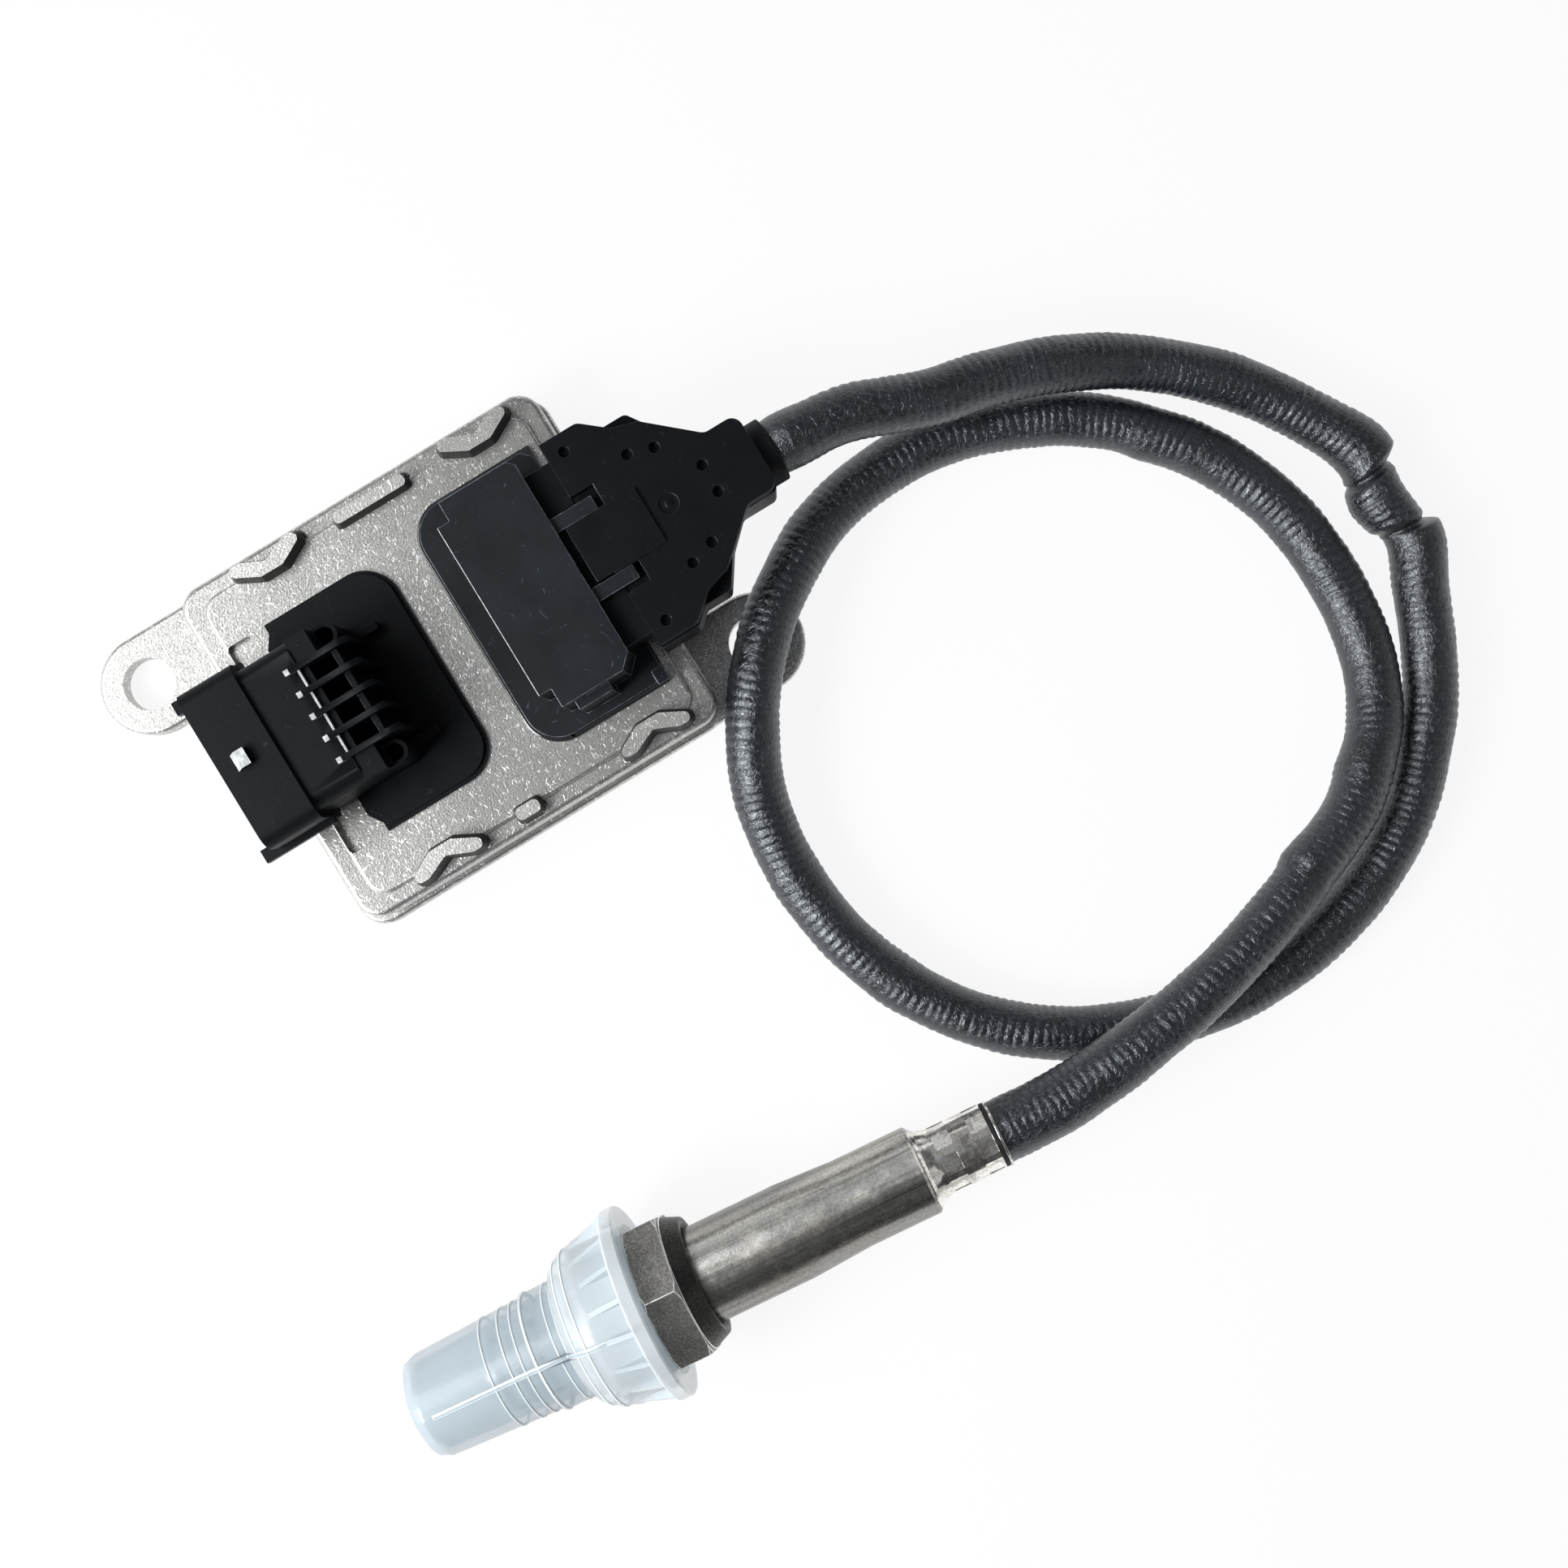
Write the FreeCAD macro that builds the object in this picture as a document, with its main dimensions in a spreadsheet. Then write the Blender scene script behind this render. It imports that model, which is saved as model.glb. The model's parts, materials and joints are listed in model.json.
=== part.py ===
"""Nitrogen oxide sensor with its control unit, joined by a fixed cable.

Millimetres. The origin is the point midway between the two mounting ears, on the
face that bolts down, with +X from the vehicle connector to the sensor plug and +Z up.
The sensor lies beside the unit on the flange of its protective cap, as it is shipped.
"""
import FreeCAD, Part

import math
import os

import Sketcher
from FreeCAD import Placement, Rotation, Vector

doc = FreeCAD.newDocument("nitrogen_oxide_sensor")

# Driving dimensions
DIMENSIONS = {
    # how far a cutting tool reaches past the face that it opens
    "over": 1.0,
    # die-cast housing
    "flange_left": -33.6, "flange_right": 34.5, "flange_half_width": 31.0, "flange_height": 3.5,
    "flange_corner": 4.5, "flange_edge": 0.8,
    "shelf_left": -31.6, "shelf_right": 33.8, "shelf_half_width": 30.0, "shelf_height": 12.2,
    "shelf_corner": 4.0, "shelf_edge": 1.0,
    "top_left": -28.3, "top_right": 30.8, "top_half_width": 27.2, "top_height": 13.0, "top_corner": 3.3,
    "top_edge": 0.6,
    "ear_x": 43.7, "ear_y": 22.6, "ear_round": 8.2, "ear_hole": 4.3,
    "top_wall": 2.6, "side_wall": 2.2, "pillar": 2.2, "pillar_x": 24.8, "pillar_y": 22.0,
    "pillar_root": 0.5,
    "corner_boss_height": 16.0, "bar_boss_height": 15.3, "boss_inset": 0.9, "boss_root": 1.2,
    "boss_round": 0.9,
    "boss_left": 13.4, "boss_right": 8.0, "boss_line": 24.1, "boss_lean": 2.5, "boss_waist": 3.7,
    "boss_depth": 5.4, "boss_reach": 6.9, "boss_flat": 2.2, "boss_arm": 3.8,
    "bar_left": -3.7, "bar_right": 10.9, "bar_near": 25.0, "bar_far": 28.7,
    "stub_left": -3.3, "stub_right": 2.6, "stub_near": 25.4, "stub_far": 29.3,
    "recess_left": -28.0, "recess_right": -23.6, "recess_half_width": 18.9, "recess_depth": 1.3,
    "recess_corner": 0.8,
    # base cover and board
    "cover_recess": 1.6, "cover_inset": 2.0, "cover_thickness": 1.2, "cover_gap": 0.15,
    "gasket_width": 1.6,
    "board_bottom": 4.2, "board_thickness": 1.6, "board_gap": 0.6,
    "screw_head": 1.9, "screw_head_height": 0.9, "screw_shank": 1.0, "screw_length": 4.0,
    "screw_clearance": 0.15, "screw_fit": 0.05, "screw_tip_gap": 0.2,
    "chip_x": 5.0, "chip_y": 13.0, "processor": 9.0, "driver_length": 7.0, "driver_width": 6.0,
    "chip_height": 1.5, "capacitor": 2.4, "capacitor_height": 3.4,
    # vehicle connector
    "plate_left": -22.4, "plate_right": 0.0, "plate_half_width": 18.8, "plate_thickness": 1.4,
    "plate_round": 6.0, "plate_step": 1.5, "plate_slant": 2.2, "plate_lip": 0.7,
    "neck_left": -20.0, "neck_right": -4.0, "neck_half_width": 14.0, "neck_bottom": 8.0, "neck_gap": 0.2,
    "seal_width": 1.0, "seal_height": 0.8, "seal_fit": 0.02,
    "mouth_x": -34.6, "shroud_step": -25.4, "shroud_half_width": 13.3, "shroud_bottom": 14.6,
    "shroud_top": 30.0, "shroud_wall": 1.7, "shroud_corner": 2.4,
    "back_half_width": 12.0, "back_end": -16.8, "back_step": 0.8, "cavity_end": -20.6, "cavity_corner": 1.4,
    "guide_reach": 3.0, "guide_thickness": 1.3, "guide_rise": 0.9, "guide_height": 1.8, "guide_z": 21.0,
    "nub_front": -32.5, "nub_rear": -29.4, "nub_width": 2.7, "nub_height": 1.5,
    "fin_thickness": 0.9, "fin_pitch": 3.77, "fin_front": -18.9, "fin_rear": -8.2, "fin_top": 29.9,
    "fin_round": 1.8, "wall_one": -15.5, "wall_two": -11.5, "wall_drop": 1.5,
    "cheek_end": -13.2, "cheek_drop": 0.4, "rib_y": 9.3, "rib_end": -5.3, "rib_thickness": 1.3,
    "rib_height": 2.4, "post_x": -11.5, "post_y": 10.2, "post": 1.9, "post_wall": 0.6, "post_top": 25.6,
    "post_depth": 5.0,
    "pin_width": 1.5, "pin_thickness": 0.8, "pin_pitch": 4.0, "pin_tip": -31.0, "pin_leg": -18.4,
    "pin_z": 22.2, "pin_foot": 3.4, "pin_fit": 0.05,
    # sensor header
    "rim_left": 6.0, "rim_right": 29.2, "rim_half_width": 21.6, "rim_height": 0.8, "rim_round": 6.3,
    "rim_cut": 1.5,
    "header_plate_inset": 0.7, "header_plate_thickness": 1.0,
    "header_neck_left": 10.2, "header_neck_right": 24.0, "header_neck_half_width": 15.0,
    "block_left": 11.4, "block_right": 26.3, "block_half_width": 17.8, "block_top": 28.0,
    "block_notch": 2.1, "block_shoulder": 3.2, "block_corner": 2.2,
    "ledge_left": 15.4, "ledge_right": 21.3, "ledge_reach": 1.5, "ledge_drop": 2.0,
    "hook_length": 2.0, "hook_reach": 0.5, "hook_rise": 0.6,
    "socket_end": 14.8, "socket_half_width": 15.2, "socket_bottom": 17.0, "socket_top": 26.0,
    "socket_margin": 3.3,
    "prong_reach": 33.5, "prong_width": 2.3, "prong_y": 6.0, "prong_thickness": 1.5, "prong_drop": 0.8,
    "needle": 0.64, "needle_leg": 13.1, "needle_tip": 23.0, "needle_z": 21.0,
    # plug
    "nose_left": 15.4, "nose_gap": 0.3, "fan_left": 30.7, "fan_right": 58.3, "fan_bottom": 14.2,
    "plug_split": 24.2, "fan_top": 27.6, "fan_half_width": 17.4, "shoulder_x": 37.2,
    "waist_x": 41.3, "waist_half_width": 14.0, "hip_x": 45.3, "hip_half_width": 12.8,
    "neck_x": 52.8, "neck_half": 6.2, "fan_round": 1.8,
    "lower_half_width": 17.7, "lower_waist_x": 39.6, "lower_hip_x": 44.2, "lower_hip": 15.5,
    "lower_taper_x": 48.0, "lower_taper": 9.9, "lower_neck_x": 51.8, "lower_neck": 6.3, "lower_round": 1.2,
    "tongue_left": 27.7, "tongue_right": 39.6, "tongue_half_width": 4.6, "tongue_rise": 0.5,
    "notch_right": 34.6, "notch_width": 3.5, "notch_depth": 2.2, "notch_y": 6.6,
    "dimple": 0.87, "dimple_depth": 1.2, "dimple_inset": 2.75, "dimple_edge": 4.55, "dimple_neck": 3.9,
    "gate_x": 42.8, "gate_mark": 1.6, "gate_dot": 0.55, "gate_depth": 0.3,
    "terminal": 1.9, "terminal_hole": 1.0, "terminal_left": 16.2, "terminal_right": 29.0,
    "terminal_fit": 0.08,
    "collar_radius": 5.2, "collar_start": 57.0, "cable_start": 61.0,
    # cable
    "cable_diameter": 8.8, "exit_z": 20.5,
    # sensor, along its own axis from the front face of the gland nut's hexagon
    "axis_x": -22.9, "axis_y": -102.5, "axis_turn": -5.6,
    "thread_radius": 10.0, "thread_length": 10.5, "thread_chamfer": 1.0, "relief_length": 1.6,
    "relief_depth": 0.9,
    "hex_flats": 22.0, "hex_length": 5.8, "hex_chamfer": 0.8, "nut_end": 8.6, "nut_end_radius": 9.6,
    "nut_end_flare": 1.2, "nut_bore": 8.0, "nut_clearance": 0.28, "bore_chamfer": 0.6,
    "seat_radius": 9.1, "seat_length": 3.6, "seat_cone": 1.6, "seat_lip": 0.6, "seat_gap": 0.1,
    "seat_bore": 1.2,
    "core_inset": 0.6, "core_fit": 0.02,
    "sleeve_wall": 0.5, "sleeve_end": 46.4, "sleeve_rear": 7.15, "sleeve_taper_start": 24.0,
    "sleeve_taper_end": 34.0, "sleeve_fit": 0.08, "sleeve_edge": 0.4, "sleeve_step": 0.2,
    "tail_start": 36.0, "tail_shoulder": 46.6, "tail_neck": 49.0, "tail_end": 58.2, "tail_radius": 5.35,
    "tail_wall": 0.5, "crimp_width": 3.0, "crimp_depth": 0.32, "crimp_one": 49.4, "crimp_two": 55.3,
    "crimp_length": 2.8, "crimp_count": 8,
    "grommet_start": 49.6, "grommet_lip": 0.75, "ring_width": 0.4, "ring_step": 0.1, "ring_gap": 0.3,
    "shield_end": -28.3, "shield_radius": 6.5, "shield_wall": 0.45, "shield_round": 2.6, "shield_hole": 0.9,
    "shield_mouth": 1.4, "shield_hole_count": 6,
    "inner_end": -26.4, "inner_radius": 4.6, "inner_wall": 0.4,
    "outer_holes_one": 4.0, "outer_holes_two": 10.0, "inner_holes": 7.0,
    "strip_width": 4.2, "strip_thickness": 1.2, "strip_tip": -24.6, "strip_rear": 16.0,
    "bush_radius": 5.6, "bush_gap": 0.15, "bush_split_one": -7.0, "bush_split_two": 1.0,
    "bush_rear": 6.0, "strip_gap": 0.15,
    "holder_front": 9.0, "holder_rear": 22.0, "holder_radius": 5.9,
    "clip_width": 0.8, "clip_thickness": 0.35, "clip_pitch": 1.4, "clip_inset": 0.5,
    "wire_radius": 0.75, "wire_ring": 2.9, "wire_fit": 0.05,
    # protective cap
    "cap_end": -40.2, "cap_tip_radius": 8.25, "cap_step": -19.6, "cap_step_radius": 9.05,
    "cap_body_radius": 9.45, "cap_step_length": 0.8,
    "dome_start": -13.8, "dome_end": -8.0, "dome_radius": 13.5, "rim_front": -2.4, "cap_flange": 15.6,
    "cap_wall": 1.2, "cap_end_round": 2.4, "cap_edge": 0.3, "skirt_radius": 11.2, "skirt_fit": 0.12,
    "skirt_depth": 9.6, "skirt_gap": 0.2,
    "gusset_thickness": 0.8, "gusset_length": 5.2, "gusset_root": 0.6, "gusset_count": 18,
}

sheet = doc.addObject("Spreadsheet::Sheet", "Sizes")
for row, (name, number) in enumerate(DIMENSIONS.items(), start=1):
    sheet.set("A%d" % row, name)
    sheet.set("B%d" % row, repr(number))
    sheet.setAlias("B%d" % row, name)
doc.recompute()


class Size:
    """A length with the sheet expression that it comes from."""

    def __init__(self, value, text):
        self.value = float(value)
        self.text = text

    def __add__(self, other):
        other = as_size(other)
        return Size(self.value + other.value, "(%s + %s)" % (self.text, other.text))

    def __sub__(self, other):
        other = as_size(other)
        return Size(self.value - other.value, "(%s - %s)" % (self.text, other.text))

    def __mul__(self, other):
        other = as_size(other)
        return Size(self.value * other.value, "(%s * %s)" % (self.text, other.text))

    def __truediv__(self, other):
        other = as_size(other)
        return Size(self.value / other.value, "(%s / %s)" % (self.text, other.text))

    def __neg__(self):
        return Size(-self.value, "(0 - %s)" % self.text)

    def __radd__(self, other):
        return as_size(other) + self

    def __rsub__(self, other):
        return as_size(other) - self

    def __rmul__(self, other):
        return as_size(other) * self


def as_size(length):
    """A plain number as a Size."""
    return length if isinstance(length, Size) else Size(length, "(%.6f)" % length)


class Names:
    """The sheet's cells by their aliases."""

    def __getattr__(self, name):
        return Size(sheet.get(name), "Sizes." + name)


S = Names()
made = []

# How many of each there are
VEHICLE_WAYS = 5
SENSOR_WAYS = 8
FINS = 5
CORES = 6


def bind(obj, **sizes):
    """Ties properties of an object to sizes; a double underscore stands for a dot."""
    for name, size in sizes.items():
        obj.setExpression(name.replace("__", "."), as_size(size).text)


def place(obj, x, y, z, rotation=None):
    """Puts an object at a point whose coordinates stay tied to the sheet."""
    obj.Placement = Placement(Vector(), rotation or Rotation())
    bind(obj, Placement__Base__x=x, Placement__Base__y=y, Placement__Base__z=z)
    return obj


ALONG_X = Rotation(Vector(0, 1, 0), 90)


def box(xs, ys, zs, name="Box"):
    """A box over a span of each axis."""
    obj = doc.addObject("Part::Box", name)
    bind(obj, Length=xs[1] - xs[0], Width=ys[1] - ys[0], Height=zs[1] - zs[0])
    return place(obj, xs[0], ys[0], zs[0])


def cylinder(x, y, z, radius, height, rotation=None, name="Cylinder"):
    """An upright cylinder from its base point, or one turned to another axis."""
    obj = doc.addObject("Part::Cylinder", name)
    bind(obj, Radius=radius, Height=height)
    return place(obj, x, y, z, rotation)


def fuse(*parts):
    """One solid from several that meet."""
    obj = doc.addObject("Part::MultiFuse", "Fusion")
    obj.Shapes = list(parts)
    obj.Refine = True
    return obj


def group(*parts):
    """Separate solids kept in one piece."""
    obj = doc.addObject("Part::Compound", "Group")
    obj.Links = list(parts)
    return obj


def cut(base, *tools):
    """A solid less the tools."""
    obj = doc.addObject("Part::Cut", "Cut")
    obj.Base = base
    obj.Tool = tools[0] if len(tools) == 1 else fuse(*tools)
    obj.Refine = True
    return obj


def edges_where(obj, test):
    """Numbers of the edges whose middle and direction pass a test."""
    doc.recompute()
    found = []
    for number, edge in enumerate(obj.Shape.Edges, start=1):
        middle = edge.valueAt((edge.FirstParameter + edge.LastParameter) / 2)
        ends = edge.valueAt(edge.LastParameter) - edge.valueAt(edge.FirstParameter)
        if test(middle, ends, edge):
            found.append(number)
    return found


def upright(middle, ends, edge):
    """True on a vertical edge."""
    return abs(ends.z) > 0.2 and abs(ends.x) + abs(ends.y) < 1e-4


def rim_at(height):
    """A test that is true on every edge that lies at a height."""
    level = as_size(height).value

    def at_level(middle, ends, edge):
        return abs(middle.z - level) < 1e-4 and abs(ends.z) < 1e-4

    return at_level


def rounded(obj, radius, test):
    """The same solid with the chosen edges rounded."""
    numbers = edges_where(obj, test)
    result = doc.addObject("Part::Fillet", "Rounded")
    result.Base = obj
    result.Edges = [(number, radius.value, radius.value) for number in numbers]
    return result


def outline(sketch, points):
    """A closed outline of straight lines, every corner tied to the sheet."""
    first = sketch.GeometryCount
    count = len(points)
    corners = [(as_size(x), as_size(y)) for x, y in points]
    spots = [Vector(x.value, y.value, 0) for x, y in corners]
    for i in range(count):
        sketch.addGeometry(Part.LineSegment(spots[i], spots[(i + 1) % count]), False)
    for i in range(count):
        sketch.addConstraint(Sketcher.Constraint("Coincident", first + i, 2, first + (i + 1) % count, 1))
    for i, (x, y) in enumerate(corners):
        for kind, size in (("DistanceX", x), ("DistanceY", y)):
            number = sketch.addConstraint(Sketcher.Constraint(kind, -1, 1, first + i, 1, size.value))
            sketch.setExpression("Constraints[%d]" % number, size.text)


def disc(sketch, x, y, radius):
    """A circle, its centre and radius tied to the sheet."""
    x, y, radius = as_size(x), as_size(y), as_size(radius)
    at = sketch.addGeometry(Part.Circle(Vector(x.value, y.value, 0), Vector(0, 0, 1), radius.value), False)
    for kind, size in (("DistanceX", x), ("DistanceY", y)):
        number = sketch.addConstraint(Sketcher.Constraint(kind, -1, 1, at, 3, size.value))
        sketch.setExpression("Constraints[%d]" % number, size.text)
    number = sketch.addConstraint(Sketcher.Constraint("Radius", at, radius.value))
    sketch.setExpression("Constraints[%d]" % number, radius.text)


def new_body(name):
    """An empty body."""
    return doc.addObject("PartDesign::Body", name)


def new_sketch(body, plane="XY_Plane", height=0):
    """A sketch on one of the body's own planes, at a height above it."""
    sketch = body.newObject("Sketcher::SketchObject", "Sketch")
    support = [f for f in body.Origin.OriginFeatures if f.Role == plane][0]
    sketch.AttachmentSupport = [(support, "")]
    sketch.MapMode = "FlatFace"
    bind(sketch, AttachmentOffset__Base__z=height)
    return sketch


def pad(body, sketch, length, reverse=False):
    """Material pushed up from a sketch."""
    feature = body.newObject("PartDesign::Pad", "Pad")
    feature.Profile = sketch
    bind(feature, Length=length)
    feature.Reversed = reverse
    return feature


def pocket(body, sketch, length, reverse=False):
    """Material taken out below a sketch."""
    feature = body.newObject("PartDesign::Pocket", "Pocket")
    feature.Profile = sketch
    bind(feature, Length=length)
    feature.Reversed = reverse
    return feature


def turned(body, points, kind="PartDesign::Revolution"):
    """A profile of distance along the axis and radius, turned round the body's X axis."""
    sketch = new_sketch(body)
    outline(sketch, points)
    feature = body.newObject(kind, "Turned")
    feature.Profile = sketch
    feature.ReferenceAxis = (sketch, ["H_Axis"])
    feature.Angle = 360.0
    return feature


def finish(obj, name, on_probe=False):
    """Names a finished piece; a piece of the sensor goes to the sensor's own axis."""
    obj.Label = name
    if on_probe:
        obj.Placement = Placement(Vector(), Rotation(Vector(0, 0, 1), 0))
        bind(obj, Placement__Base__x=S.axis_x, Placement__Base__y=S.axis_y, Placement__Base__z=S.cap_flange)
        obj.setExpression("Placement.Rotation.Angle", S.axis_turn.text)
    made.append(obj)
    return obj


def rectangle(left, right, half_width):
    """Corners of a rectangle centred on the X axis."""
    return [(left, -half_width), (right, -half_width), (right, half_width), (left, half_width)]


def draft(inset, height):
    """The angle at which a wall comes in by an inset over a height, below zero where it narrows."""
    angle = -math.degrees(math.atan2(inset.value, height.value))
    return Size(angle, "(-1 * atan(%s / %s))" % (inset.text, height.text))


def drafted_boss(points, top):
    """A cast boss that narrows from inside the shelf to its top, its upright corners rounded."""
    body = new_body("Boss")
    bottom = S.shelf_height - S.boss_root
    sketch = new_sketch(body, height=bottom)
    outline(sketch, points)
    feature = pad(body, sketch, top - bottom)
    bind(feature, TaperAngle=draft(S.boss_inset, top - bottom))

    def sloping(middle, ends, edge):
        return abs(ends.z) > 0.2

    return rounded(body, S.boss_round, sloping)


def corner_boss(x, side):
    """A chevron boss at a corner: a flat middle towards the unit and two arms that lean away from it."""
    inner = side * S.boss_line
    ends = side * (S.boss_line + S.boss_lean)
    notch = side * (S.boss_line + S.boss_waist)
    tips = side * (S.boss_line + S.boss_depth)
    return drafted_boss([
        (x - S.boss_reach, ends), (x - S.boss_flat, inner), (x + S.boss_flat, inner),
        (x + S.boss_reach, ends), (x + S.boss_reach, tips), (x + S.boss_arm, tips), (x, notch),
        (x - S.boss_arm, tips), (x - S.boss_reach, tips),
    ], S.corner_boss_height)


def edge_boss(left, right, near, far, top):
    """A plain raised bar between the corner bosses."""
    return drafted_boss([(left, near), (right, near), (right, far), (left, far)], top)


def pillar_places():
    """Places of the four screwed pillars inside the housing."""
    middle = (S.shelf_left + S.shelf_right) / 2
    return [(middle + i * S.pillar_x, j * S.pillar_y) for i in (-1, 1) for j in (-1, 1)]


def build_housing():
    """Die-cast housing, open below, with two ears and its raised bosses."""
    floor = as_size(0)
    body = new_body("Housing")
    flange = new_sketch(body)
    outline(flange, rectangle(S.flange_left, S.flange_right, S.flange_half_width))
    pad(body, flange, S.flange_height)
    body.recompute(True)
    shelf = box((S.shelf_left, S.shelf_right), (-S.shelf_half_width, S.shelf_half_width),
                (floor, S.shelf_height))
    top = box((S.top_left, S.top_right), (-S.top_half_width, S.top_half_width), (floor, S.top_height))
    shelf = rounded(rounded(shelf, S.shelf_corner, upright), S.shelf_edge, rim_at(S.shelf_height))
    top = rounded(rounded(top, S.top_corner, upright), S.top_edge, rim_at(S.top_height))
    ground = [rounded(body, S.flange_corner, upright)]
    parts = [shelf, top]
    tools = []
    for side, edge in ((-1, S.flange_left), (1, S.flange_right)):
        x, y = side * S.ear_x, -side * S.ear_y
        ground.append(cylinder(x, y, 0, S.ear_round, S.flange_height))
        root = edge - side * S.flange_corner
        web = (x, root) if side < 0 else (root, x)
        ground.append(box(web, (y - S.ear_round, y + S.ear_round), (floor, S.flange_height)))
        tools.append(cylinder(x, y, 0, S.ear_hole, S.flange_height))
        parts.append(corner_boss(S.top_left + S.boss_left, side))
        parts.append(corner_boss(S.top_right - S.boss_right, side))
    parts.append(rounded(fuse(*ground), S.flange_edge, rim_at(S.flange_height)))
    parts.append(edge_boss(S.bar_left, S.bar_right, S.bar_near, S.bar_far, S.bar_boss_height))
    parts.append(edge_boss(S.stub_left, S.stub_right, -S.stub_far, -S.stub_near, S.bar_boss_height))
    wall = S.side_wall
    tools.append(box((S.shelf_left + wall, S.shelf_right - wall),
                     (wall - S.shelf_half_width, S.shelf_half_width - wall),
                     (floor, S.shelf_height - S.top_wall)))
    tools.append(box((S.top_left + wall, S.top_right - wall),
                     (wall - S.top_half_width, S.top_half_width - wall), (floor, S.top_height - S.top_wall)))
    inset = S.cover_inset
    tools.append(box((S.flange_left + inset, S.flange_right - inset),
                     (inset - S.flange_half_width, S.flange_half_width - inset), (floor, S.cover_recess)))
    tray = box((S.recess_left, S.recess_right), (-S.recess_half_width, S.recess_half_width),
               (S.top_height - S.recess_depth, S.top_height + S.over))
    tools.append(rounded(tray, S.recess_corner, upright))
    below = S.top_height - S.top_wall
    neck = (S.neck_left, S.neck_right, S.neck_half_width)
    tools.append(window(*neck, S.neck_gap, below, S.top_height))
    tools.append(window(*neck, S.seal_width, S.top_height - S.seal_height, S.top_height))
    tools.append(window(S.header_neck_left, S.header_neck_right, S.header_neck_half_width, S.neck_gap, below,
                        S.top_height))
    shell = cut(fuse(*parts), *tools)
    foot = S.board_bottom + S.board_thickness
    pillars = []
    for x, y in pillar_places():
        post = cylinder(x, y, foot, S.pillar, below - foot + S.pillar_root)
        hole = cylinder(x, y, foot, S.screw_shank, S.screw_length - S.board_thickness)
        pillars.append(cut(post, hole))
    finish(fuse(shell, *pillars), "housing")


def window(left, right, half_width, gap, bottom, top):
    """A rectangular opening round a neck."""
    return box((left - gap, right + gap), (-half_width - gap, half_width + gap), (bottom, top))


def frame_of(left, right, half_width, width, bottom, top):
    """A rectangular ring of one width inside an outline."""
    outer = box((left, right), (-half_width, half_width), (bottom, top))
    inner = box((left + width, right - width), (-half_width + width, half_width - width), (bottom, top))
    return cut(outer, inner)


def centred(x, y, length, width, bottom, height):
    """A box from its middle in plan, its footprint and its height above a face."""
    return box((x - length / 2, x + length / 2), (y - width / 2, y + width / 2), (bottom, bottom + height))


def build_base():
    """Base cover, its gasket, the circuit board with its parts and its screws."""
    left = S.flange_left + S.cover_inset + S.cover_gap
    right = S.flange_right - S.cover_inset - S.cover_gap
    half = S.flange_half_width - S.cover_inset - S.cover_gap
    finish(box((left, right), (-half, half), (as_size(0), S.cover_thickness)), "base_cover")
    finish(frame_of(left, right, half, S.gasket_width, S.cover_thickness, S.cover_recess), "base_gasket")
    edge = S.side_wall + S.board_gap
    board_half = S.shelf_half_width - edge
    top = S.board_bottom + S.board_thickness
    board = box((S.shelf_left + edge, S.shelf_right - edge), (-board_half, board_half), (S.board_bottom, top))
    holes = []
    screws = []
    for x, y in pillar_places():
        holes.append(cylinder(x, y, S.board_bottom, S.screw_shank + S.screw_clearance, S.board_thickness))
        head = cylinder(x, y, S.board_bottom - S.screw_head_height, S.screw_head, S.screw_head_height)
        shank = cylinder(x, y, S.board_bottom, S.screw_shank - S.screw_fit, S.screw_length - S.screw_tip_gap)
        screws.append(fuse(head, shank))
    for y in vehicle_pin_rows():
        holes.append(centred(S.pin_leg, y, S.pin_thickness + 2 * S.pin_fit, S.pin_width + 2 * S.pin_fit,
                             S.board_bottom, S.board_thickness))
    for y in needle_rows():
        holes.append(centred(S.needle_leg, y, S.needle + 2 * S.pin_fit, S.needle + 2 * S.pin_fit,
                             S.board_bottom, S.board_thickness))
    finish(cut(board, *holes), "circuit_board")
    finish(group(*screws), "board_screws")
    chips = [centred(-S.chip_x, 0, S.processor, S.processor, top, S.chip_height)]
    for side in (-1, 1):
        chips.append(centred(-S.chip_x, side * S.chip_y, S.driver_length, S.driver_width, top, S.chip_height))
        chips.append(cylinder(S.chip_x, side * S.chip_y, top, S.capacitor, S.capacitor_height))
    finish(group(*chips), "board_components")


def row(count):
    """Places of a centred row, in pitches."""
    return [i - (count - 1) / 2 for i in range(count)]


def vehicle_pin_rows():
    """Places of the contacts of the vehicle connector."""
    return [across * S.pin_pitch for across in row(VEHICLE_WAYS)]


def needle_rows():
    """Places of the contacts of the sensor header, spread over its socket."""
    pitch = (S.socket_half_width - S.socket_margin) * 2 / (SENSOR_WAYS - 1)
    return [across * pitch for across in row(SENSOR_WAYS)]


def bent_pin(tip, leg, y, z, foot, width, thickness, grow=0):
    """A contact that runs level from its tip and turns down at its leg."""
    half = width / 2 + grow
    thin = thickness / 2 + grow
    if tip.value < leg.value:
        level = (tip, leg + thin)
    else:
        level = (leg - thin, tip)
    return fuse(box(level, (y - half, y + half), (z - thin, z + thin)),
                box((leg - thin, leg + thin), (y - half, y + half), (foot, z + thin)))


def along(middle, ends, edge):
    """True on an edge that runs along X."""
    return abs(ends.x) > 0.2 and abs(ends.y) + abs(ends.z) < 1e-4


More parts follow.
